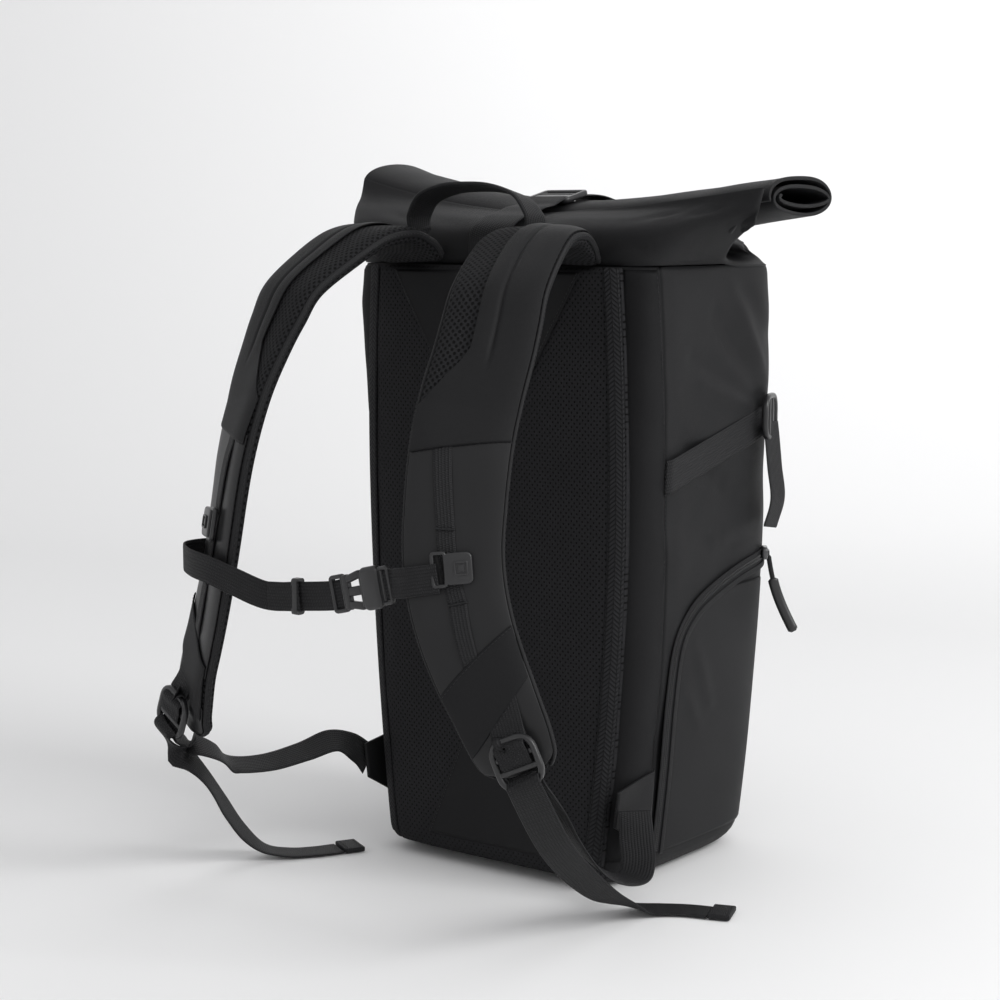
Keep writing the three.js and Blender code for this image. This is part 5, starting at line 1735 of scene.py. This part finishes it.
@dataclass
class Webbing:
    """Every run of webbing, with the locks and buckles that it passes through."""

    wardrobe: Wardrobe
    shell: PackShell
    roll: RollTop
    right: StrapTable
    left: StrapTable
    reach: float = 100
    loose: dict = field(default_factory=lambda: {
        "lower_web_right": (
            (1.6, -2.38, 1.01, 0.95, 0.1, 0.1), (1.56, -2.12, 0.79, 0.9, 0, -0.3),
            (1.52, -1.78, 0.51, 0.87, -0.1, -0.4), (1.49, -1.48, 0.34, 0.9, 0, -0.3),
            (1.47, -1.22, 0.27, 0.9, 0.2, -0.1), (1.4, -1.05, 0.33, 0.85, 0.45, 0),
            (1.33, -0.97, 0.47, 0.79, 0.61, 0), (1.285, -0.93, 0.66, 0.5, 0.85, 0)),
        "tail_web_right": (
            (1.61, -2.36, 0.8, 0.85, 0.2, 0.35), (1.55, -2, 0.5, 0.8, 0.3, 0.3),
            (1.51, -1.65, 0.26, 0.85, 0.2, 0.25), (1.48, -1.37, 0.12, 0.9, 0, 0.15),
            (1.51, -1.16, 0.035, 0.8, -0.5, 0), (1.6, -1.04, 0.018, 0.62, -0.78, 0),
            (1.74, -0.94, 0.014, 0.5, -0.85, 0), (1.9, -0.88, 0.014, 0.36, -0.93, 0)),
        "lower_web_left": (
            (-1.5, -2.38, 0.96, 0.8, -0.4, -0.4), (-1.55, -2.15, 0.81, 0.85, -0.45, -0.3),
            (-1.48, -1.85, 0.77, 0.9, -0.35, -0.3), (-1.38, -1.55, 0.81, 0.9, -0.35, -0.35),
            (-1.3, -1.3, 0.86, 0.8, -0.3, -0.5), (-1.24, -1.12, 0.78, 0.4, -0.2, -0.85),
            (-1.228, -0.96, 0.65, 0.05, -0.2, -0.97)),
        "tail_web_left": (
            (-1.56, -2.45, 0.8, 0.7, -0.6, -0.45), (-1.59, -2.2, 0.49, 0.63, -0.62, -0.47),
            (-1.62, -1.97, 0.23, 0.66, -0.65, -0.3), (-1.56, -1.8, 0.07, 0.69, -0.72, 0),
            (-1.44, -1.65, 0.022, 0.72, -0.69, 0), (-1.32, -1.48, 0.014, 0.82, -0.57, 0),
            (-1.23, -1.31, 0.014, 0.88, -0.47, 0)),
    })
    chest_right: Sequence[tuple[float, float, float]] = (
        (106, -287.5, 258.2), (99, -290, 257), (88, -295, 255), (77, -294.5, 253), (69.4, -290, 251.3))
    chest_left: Sequence[tuple[float, float, float]] = (
        (13.6, -289, 237.4), (-16, -289, 234), (-44, -291, 232), (-70, -297, 240), (-92, -299, 246),
        (-115, -293, 248),
        (-136, -279, 249), (-141, -264, 249), (-136, -250, 249), (-125, -246.5, 249), (-114, -252, 249))

    def build(self) -> None:
        """Makes all of them."""
        self.bands = Bands(self.wardrobe)
        self.hard = Hardware()
        self.locks()
        self.loose_webs()
        self.anchors()
        self.chest_strap()
        self.handle()
        self.closure()
        self.side_straps()

    def locks(self) -> None:
        """Hangs a ladder lock under each strap, on its short web."""
        for table in (self.right, self.left):
            label = table.side.label
            place, across, along, out = lock_frame(table)
            mirror = table.side is Side.LEFT
            lock = seated(self.hard.ladder_lock(f"lock_{label}"), place, across, -along, mirror)
            self.wardrobe.dress(lock, PLASTIC, [f"ladder_lock_{label}"])
            sign = np.array([table.side.value, 1, 1])
            start = table.on(np.array(16.7), np.array(0.2), 2.3)
            under = table.on(np.array(17.35), np.array(0.14), 2.7)
            _, wide, _, face, _, _ = table.frames(np.array(17.0))
            woven = ((-16, -1.5), (-11.5, 3.6), (-5, 2.6), (1.5, 2.2), (4.4, -2.6), (-2, -4.2), (-9, -4.6))
            stops = [start, under, mix(under, place, 0.4) + face * 1.2]
            stops += [place + along * down + out * raised for down, raised in woven]
            turns = [mix(wide, across, min(1, k / 3)) for k in range(len(stops))]
            rows = [[*(stop * sign), *(turn * sign)] for stop, turn in zip(stops, turns)]
            self.bands.make(f"adjuster_webbing_{label}", rows, f"adjuster_web_{label}", count=90,
                            width=23.5, thickness=1.3)

    def loose_webs(self) -> None:
        """Makes the webbing from each lock to its anchor, and the free tails with their folded hems."""
        for name, rows in self.loose.items():
            left = name.endswith("left")
            table = self.left if left else self.right
            place, across, along, out = lock_frame(table)
            front = name.startswith("tail")
            beyond, raised = (1.8, 2.4) if front else (2.6, -3.6)
            begin = place + along * (self.hard.lock_size[1] / 2 + beyond) + out * raised
            inside = place + along * (10 if front else 8) + out * (1.4 if front else -2.6)
            sign = np.array([-1 if left else 1, 1, 1])
            scaled = [[*(inside * sign), *(across * sign)], [*(begin * sign), *(across * sign)]]
            scaled += [[*(length * self.reach for length in row[:3]), *row[3:]] for row in rows]
            self.bands.make(name.replace("web", "webbing"), scaled, name, count=170, cloth=True)
            if front:
                self.hem(name, scaled)

    def hem(self, name: str, rows: list) -> None:
        """Makes the end of a tail, folded over twice and stitched.

        Args:
            name: The tail's node.
            rows: The rows of the tail's webbing.
        """
        end, before = np.array(rows[-1]), np.array(rows[-2])
        along = unit(end[:3] - before[:3])
        across = unit(end[3:] - along * (end[3:] @ along))
        normal = unit(np.cross(across, along))
        place = end[:3] + along * 8.6
        low = 2.0 + 8 * abs(along[2]) + 0.2
        place[2] = max(place[2], low)
        hem_name = name.replace("web", "end")
        fold = framed_plate(f"{hem_name}_fold", (25, 16), 1.2, 3.8, 1.0)
        data_flat(fold)
        seated(fold, place, across, along)
        self.wardrobe.dress(fold, WEBBING, [hem_name])
        for index, offset in enumerate((-5.5, 5.5)):
            above = normal * np.sign(normal[2])
            line = place + along * offset + across * np.linspace(-11, 11, 12)[:, None] + above * 2.0
            up = np.broadcast_to(above, line.shape)
            run = stitches(f"{hem_name}_stitches_{index}", line, up, pitch=2.2, length=1.6)
            self.wardrobe.dress(run, THREAD)

    def anchors(self) -> None:
        """Makes the cloth wings low on the side seams that hold the loops of webbing."""
        up = crowded(25)[None, :] / 2 + 0.5
        out = np.linspace(0, 1, 30)[:, None]
        z = mix(mix(26, 54, out), mix(87, 80, out), up)
        y = np.broadcast_to(mix(-56, -104, out), z.shape)
        root = self.shell.side(np.full(z.shape, -58.0), z, 0.0)[..., 0]
        grid = np.stack([root + 2.1 + 0.5 * np.sin(out * 5 + up * 3), y, z], axis=-1)
        for side in Side:
            own = grid if side is Side.RIGHT else mirrored(grid)
            wing = outward(sheet_object(f"anchor_wing_{side.label}", own, 2.4))
            self.wardrobe.dress(wing, NYLON, [f"anchor_tab_{side.label}"])

    def chest_strap(self) -> None:
        """Makes the chest strap: two webs, two sliders, a buckle and a keeper."""
        upright = (0, 0, 1)
        right_rows = [(*row, *upright) for row in self.chest_right] + [(62, -289, 249.6, *upright)]
        left_rows = [(26, -289, 240.2, *upright)] + [(*row, *upright) for row in self.chest_left]
        self.bands.make("chest_webbing_right", right_rows, "sternum_web_right", width=20)
        self.bands.make("chest_webbing_left", left_rows, "sternum_web_left", count=200, width=20,
                        cloth=True)
        fold = [(*place, *upright) for place in (
            (-12, -291.5, 234.5), (-24, -292.2, 233.3), (-40, -293.6, 232.4))]
        self.bands.make("chest_webbing_end", fold, None, count=24, width=20, thickness=2.4)
        for table, row, label in ((self.right, 13.5, "right"), (self.left, 12.8, "left")):
            place = table.on(np.array(row), np.array(0.0), 6.1)
            _, across, along, _, _, _ = table.frames(np.array(row))
            slider = seated(self.hard.slider(f"slider_{label}"), place, across, -along,
                            table.side is Side.LEFT)
            self.wardrobe.dress(slider, PLASTIC, [f"sternum_slider_{label}"])
        right, left = np.array([69.0, -289, 251]), np.array([13.0, -289, 237.5])
        along = unit(left - right)
        across = np.cross([0, -1, 0], along)
        socket = seated(self.hard.socket("chest_socket"), right + along * 14, across, along)
        self.wardrobe.dress(socket, PLASTIC, ["buckle_socket"])
        plug = seated(self.hard.plug("chest_plug"), left - along * 16.8, across, along)
        self.wardrobe.dress(plug, PLASTIC, ["buckle_plug"])
        keeper = seated(self.hard.keeper("chest_keeper"), np.array([-16.0, -289, 234]),
                        np.array([0.0, 0, 1]), np.array([0.0, -1, 0]))
        self.wardrobe.dress(keeper, PLASTIC, ["sternum_keeper"])

    def handle(self) -> None:
        """Makes the grab handle, a broad loop of webbing between the strap roots."""
        root = self.right.on(np.array(2.0), np.array(-0.52), 5.6)
        shares = ((1, -0.14), (1, 0), (0.97, 0.35), (0.78, 0.75), (0.4, 0.96), (0, 1))
        half = [(side * root[0], root[1] - 4 * rise, root[2] + rise * 30, 0, -0.9,
                 0.45 if rise <= 0 else 0.2) for side, rise in shares]
        rows = half + [(-row[0], *row[1:]) for row in half[:-1][::-1]]
        self.bands.make("grab_handle_webbing", rows, "handle", count=130, width=25, thickness=2.8)

    def closure(self) -> None:
        """Makes the closure's webbing over the roll, with its hook buckle."""
        base, rise = self.shell.rim_height, self.roll.rise
        table = ((-96.2, 0.005), (-97, 0.36), (-94, 0.7), (-80.5, 0.91), (-64, 1.02), (-53, 1.11),
                 (-42, 1.16), (-34, 1.24), (-24, 1.33))
        back_rows = [(0, y - 1.6, base + 0.6 + rise * share, 1, 0, 0) for y, share in table]
        self.bands.make("closure_webbing_back", back_rows, "closure_web_back", width=38, thickness=1.7)
        lift = 1.4
        middle = float(self.roll.yaw_at(np.array(0.0)))
        centre = float(self.roll.centre(np.array(0.0)))
        front_rows = [(0, y, self.roll.top(y) + lift + 0.4, 1, 0, 0) for y in (-8, 4, 18, 32, 44)]
        rim_y = self.shell.front_depths[2] + lift + 0.6
        front_rows.append((0, middle + 52.2, centre - 2, 1, 0, 0))
        front_rows.append((0, mix(middle + self.roll.roll_half[0], rim_y, 0.6), base + 14, 1, 0, 0))
        front_rows.append((0, rim_y + 1.5, base, 1, 0, 0))
        for share in (0.3, 0.65, 1):
            z = base - share * 96
            front_rows.append((0, float(self.shell.sizes(z)[1]) + lift + 0.3, z, 1, 0, 0))
        self.bands.make("closure_webbing_front", front_rows, "closure_web_front", width=38, thickness=1.7)
        slope = math.atan2(self.roll.top(-6) - self.roll.top(-26), 20)
        along = np.array([0, math.cos(slope), math.sin(slope)])
        hook = seated(self.hard.hook("closure_hook"), np.array([0, -16, self.roll.top(-16) + 2.9]),
                      np.array([1.0, 0, 0]), along)
        self.wardrobe.dress(hook, PLASTIC, ["closure_buckle"])

    def side_straps(self) -> None:
        """Makes the webbing round each side, its lock on the front corner and its hanging end."""
        first, last = -63.0, 88.0
        y = np.linspace(first, last, 120)
        middle = self.shell.side(y, np.full_like(y, 320.0), 0.0)
        z = 304 + 0.25 * travelled_along(middle)
        across = crowded(11) * 12.5
        grid_y = np.broadcast_to(y[:, None], (120, 11))
        grid_z = z[:, None] + across[None, :]
        lift = 1.4 - 2.4 * np.exp(-(((grid_y - first) / 3) ** 2))
        grid = self.shell.side(grid_y, grid_z, lift)
        corner = self.side_corner()
        turn = unit(np.array([0.95, 0.31, 0]))
        upright = np.array([0.0, 0, 1])
        along = np.cross(upright, turn)
        for side in Side:
            own = grid if side is Side.RIGHT else mirrored(grid)
            web = outward(sheet_object(f"side_webbing_{side.label}", own, 1.5))
            self.wardrobe.dress(web, WEBBING, [f"side_strap_{side.label}"])
            lock = seated(self.hard.ladder_lock(f"side_ladder_{side.label}"), corner, upright, along,
                          side is Side.LEFT)
            self.wardrobe.dress(lock, PLASTIC, [f"side_lock_{side.label}"])
            drop = ((0.6, 0, 336), (2, 0, 326), (6, -2, 302), (9, -2, 278), (5, -6, 256))
            rows = [((corner[0] + out) * side.value, corner[1] + back, height, -0.1 * side.value, 0.99, 0)
                    for out, back, height in drop]
            self.bands.make(f"side_webbing_end_{side.label}", rows, f"side_tail_{side.label}", count=60)

    def side_corner(self) -> Array:
        """Where the side strap's lock sits, on the right."""
        return self.shell.side(np.array(68.0), np.array(340.0), 6.5)


@dataclass
class SidePocket:
    """The side pocket: a cloth door, a curved zip with its teeth, and the slider with its pull."""

    wardrobe: Wardrobe
    shell: PackShell
    line: Sequence[tuple[float, float]] = (
        (-45, 19), (-42.5, 76), (-41.5, 137), (-36, 178), (-19, 200), (7, 213), (48, 225), (88, 231))
    width: float = 12

    def route(self, count: int) -> tuple[Array, Array]:
        """The zip's middle line and its direction, as y and z.

        Args:
            count: How many points.

        Returns:
            The points and the directions.
        """
        table = np.array(self.line, float)
        points = at_rows(table, np.linspace(0, len(table) - 1, 400))
        travelled = travelled_along(points)
        even = read_along(np.linspace(0, travelled[-1], count), travelled, points)
        return even, unit(np.gradient(even, axis=0))

    def over(self, offset: Array, count: int, lift: Array) -> Array:
        """A strip that follows the zip at offsets from its middle.

        Args:
            offset: Distances from the middle.
            count: How many rows.
            lift: How far off the shell, for each offset.

        Returns:
            A grid of points.
        """
        line, along = self.route(count)
        y = line[:, None, 0] - along[:, None, 1] * offset[None, :]
        z = line[:, None, 1] + along[:, None, 0] * offset[None, :]
        return self.shell.side(y, z, np.broadcast_to(lift, y.shape))

    def build(self) -> None:
        """Makes the pocket."""
        self.door()
        offset = crowded(15) * self.width / 2
        lift = 1.5 - 0.9 * np.exp(-((offset / 2.4) ** 2))
        tape = outward(sheet_object("zip_tape", self.over(offset, 200, lift), 1.0))
        self.wardrobe.dress(tape, TAPE, ["zip_band"])
        for index, place in enumerate((-4.6, 4.6)):
            line = self.over(np.array([place]), 200, np.array([2.0]))[:, 0]
            run = stitches(f"zip_stitches_{index}", line, unit(line * [1, 1, 0]), pitch=2.8,
                           length=1.9, width=0.4)
            self.wardrobe.dress(run, THREAD)
        flap = crowded(9) * 2.4 - 6.4
        welt = outward(sheet_object("zip_welt", self.over(flap, 200, np.full(9, 2.3)), 1.6))
        self.wardrobe.dress(welt, NYLON)
        self.teeth()
        self.puller()

    def door(self) -> None:
        """Makes the cloth door inside the zip's curve."""
        line, _ = self.route(400)
        rows = np.linspace(20, 214, 110)
        left = np.array([line[np.argmax(line[:, 1] > z), 0] for z in rows])
        left = np.minimum(left + 7.5, 80)
        share = (crowded(60) + 1) / 2
        y = mix(left[:, None], 84.0, share[None, :])
        z = np.broadcast_to(rows[:, None], y.shape)
        rise = np.sin(math.pi * np.linspace(0.02, 0.98, 110))[:, None] ** 0.4
        puff = 2.0 * np.sin(math.pi * share)[None, :] ** 0.5 * rise
        grid = self.shell.side(y, z, 0.9 + puff)
        fold = crease(grid, (128, -14, 176), (125, 10, 128), 7, -1.4)
        fold += crease(grid, (126, -24, 140), (124, -2, 112), 6, -1.2)
        grid = grid + unit(grid * [1, 1, 0]) * ((ripple(grid, 12, 80, 0.5) - fold) * puff / 2)[..., None]
        cloth = outward(sheet_object("side_door_cloth", grid, 1.2))
        self.wardrobe.dress(cloth, NYLON, ["side_door"])

    def teeth(self) -> None:
        """Makes the zip's coil as two staggered rows of small turns."""
        line, along = self.route(190)
        form = []
        for sign in (-1, 1):
            start = 0 if sign < 0 else 0.5
            for k in range(2, 186):
                place = mix(line[k], line[k + 1], start)
                form.append((place, along[k], sign))
        points = []
        faces = []
        for place, way, sign in form:
            across = np.array([-way[1], way[0]])
            corners = [(sign * 0.2, -0.55), (sign * 2.3, -0.4), (sign * 2.3, 0.4), (sign * 0.2, 0.55)]
            base = len(points)
            for height, narrow, thin in ((0.9, 1, 1), (2.1, 0.85, 0.6)):
                for offset, step in corners:
                    flat = place + across * offset * narrow + way * step * thin
                    points.append(self.shell.side(np.array(flat[0]), np.array(flat[1]), height))
            faces += [[base + k for k in face] for face in
                      ((3, 2, 1, 0), (4, 5, 6, 7), (0, 1, 5, 4), (1, 2, 6, 5), (2, 3, 7, 6), (3, 0, 4, 7))]
        coil = outward(mesh_object("zip_coil", np.array(points), faces))
        self.wardrobe.dress(coil, PLASTIC)

    def puller(self) -> None:
        """Makes the zip's slider and its cord pull."""
        place = self.shell.side(np.array(83.0), np.array(232.5), 3.4)
        normal = unit(place * [1, 1, 0])
        body = framed_plate("zip_runner_body", (10, 16), 3.4, 4.4, 1.4)
        bridge = moved(framed_plate("zip_runner_bridge", (4.4, 11), 1.6, 1.2, 0.4, rim=1.2), 0, 0, 3.0)
        upright = np.array([0.0, 0, 1])
        runner = seated(joined("zip_runner", [body, bridge]), place, upright, np.cross(normal, upright))
        self.wardrobe.dress(runner, METAL, ["zip_slider"])
        top = place + normal * 3 + np.array([0, 0, -2])
        share = np.linspace(0, 1, 40)[:, None]
        line = top + share * np.array([20.0, 11, -62]) * [0.9, 0.9, 0.96]
        line[:, 0] -= 4 * np.sin(math.pi * share[:, 0])
        face = np.array([0.6, -0.8, 0.0])
        cord = tube_object("zip_pull_cord", line, 1.9, np.broadcast_to(face, line.shape), squash=0.6)
        self.wardrobe.dress(cord, PIPING, ["zip_pull"])
        grip_line = line[12:]
        grip = tube_object("zip_pull_grip", grip_line, 4.0, np.broadcast_to(face, grip_line.shape),
                           squash=0.4)
        self.wardrobe.dress(grip, PLASTIC)


@dataclass
class Studio:
    """The pale sweep, the soft lights and the camera."""

    camera_place: tuple[float, float, float] = (0.9804, -1.3495, 0.486)
    camera_turn: tuple[float, float, float] = (82.68, 0, 37.8)
    lens: float = 77.84

    def camera(self) -> None:
        """Puts the camera at the photograph's view."""
        data = bpy.data.cameras.new("camera")
        data.lens = self.lens
        data.sensor_width = 36
        camera = bpy.data.objects.new("camera", data)
        camera.location = self.camera_place
        camera.rotation_euler = [math.radians(turn) for turn in self.camera_turn]
        bpy.context.scene.collection.objects.link(camera)
        bpy.context.scene.camera = camera

    def sweep(self) -> None:
        """Makes the floor and the wall that it curves up into."""
        turn = math.radians(self.camera_turn[2])
        back = np.array([-math.sin(turn), math.cos(turn)])
        side = np.array([math.cos(turn), math.sin(turn)])
        start, radius, height, half, below = 1.5, 1.3, 5.0, 7.0, 0.0006
        bend = np.linspace(0, math.pi / 2, 40)
        curve = zip(start + radius * np.sin(bend), radius * (1 - np.cos(bend)))
        profile = [(-half, 0.0), *curve, (start + radius, height)]
        points = [(*(back * far + side * sign * half), up - below)
                  for far, up in profile for sign in (-1, 1)]
        faces = [(2 * k, 2 * k + 1, 2 * k + 3, 2 * k + 2) for k in range(len(profile) - 1)]
        data = bpy.data.meshes.new("sweep")
        data.from_pydata(points, [], faces)
        data.polygons.foreach_set("use_smooth", [True] * len(faces))
        floor = bpy.data.objects.new("sweep", data)
        bpy.context.scene.collection.objects.link(floor)
        material = bpy.data.materials.new("pale_paper")
        material.use_nodes = True
        shader = next(node for node in material.node_tree.nodes if node.type == "BSDF_PRINCIPLED")
        shader.inputs["Base Color"].default_value = (0.86, 0.86, 0.86, 1)
        shader.inputs["Roughness"].default_value = 0.9
        shader.inputs["Specular IOR Level"].default_value = 0.1
        data.materials.append(material)

    @staticmethod
    def light(name: str, place: Sequence[float], aim: Sequence[float], size: float, watts: float,
              ) -> None:
        """Adds one soft light.

        Args:
            name: Its name.
            place: Where it stands.
            aim: What it points at.
            size: Its size.
            watts: Its power.
        """
        data = bpy.data.lights.new(name, "AREA")
        data.shape = "SQUARE"
        data.size = size
        data.energy = watts
        lamp = bpy.data.objects.new(name, data)
        lamp.location = place
        way = Vector(aim) - Vector(place)
        lamp.rotation_euler = way.to_track_quat("-Z", "Y").to_euler()
        bpy.context.scene.collection.objects.link(lamp)

    def lights(self) -> None:
        """Adds the lights and the even light of the room."""
        world = bpy.data.worlds.new("studio")
        bpy.context.scene.world = world
        world.use_nodes = True
        background = world.node_tree.nodes["Background"]
        background.inputs[0].default_value = (0.9, 0.9, 0.91, 1)
        background.inputs[1].default_value = 0.78
        self.light("key", (2.0, 0.3, 1.5), (0, 0, 0.36), 1.2, 32)
        self.light("wall", (-0.2, 1.5, 2.5), (-0.6, 3.5, 2.1), 2.0, 28)
        self.light("fore", (1.9, -1.6, 2.2), (0.9, -0.7, 0.0), 1.4, 8)
        bpy.context.scene.view_settings.view_transform = "Standard"


def main() -> None:
    """Builds the scene, a class at a time."""
    logging.basicConfig(level=logging.INFO, format="%(name)s: %(message)s")
    wardrobe = Wardrobe()
    studio = Studio()
    studio.camera()
    shell = PackShell(wardrobe)
    panel = BackPanel(wardrobe, shell)
    top = RollTop(wardrobe, shell)
    right = StrapTable(Side.RIGHT, 331)
    left = StrapTable(Side.LEFT, 343)
    parts: list[tuple[str, Callable[[], None]]] = [
        ("pack shell", shell.build), ("back panel", panel.build), ("roll top", top.build),
        ("right strap", ShoulderStrap(wardrobe, right).build),
        ("left strap", ShoulderStrap(wardrobe, left).build),
        ("webbing", Webbing(wardrobe, shell, top, right, left).build),
        ("side pocket", SidePocket(wardrobe, shell).build),
        ("floor", studio.sweep), ("lights", studio.lights)]
    for name, build in parts:
        build()
        log.info("built the %s", name)


if __name__ == "__main__":
    main()
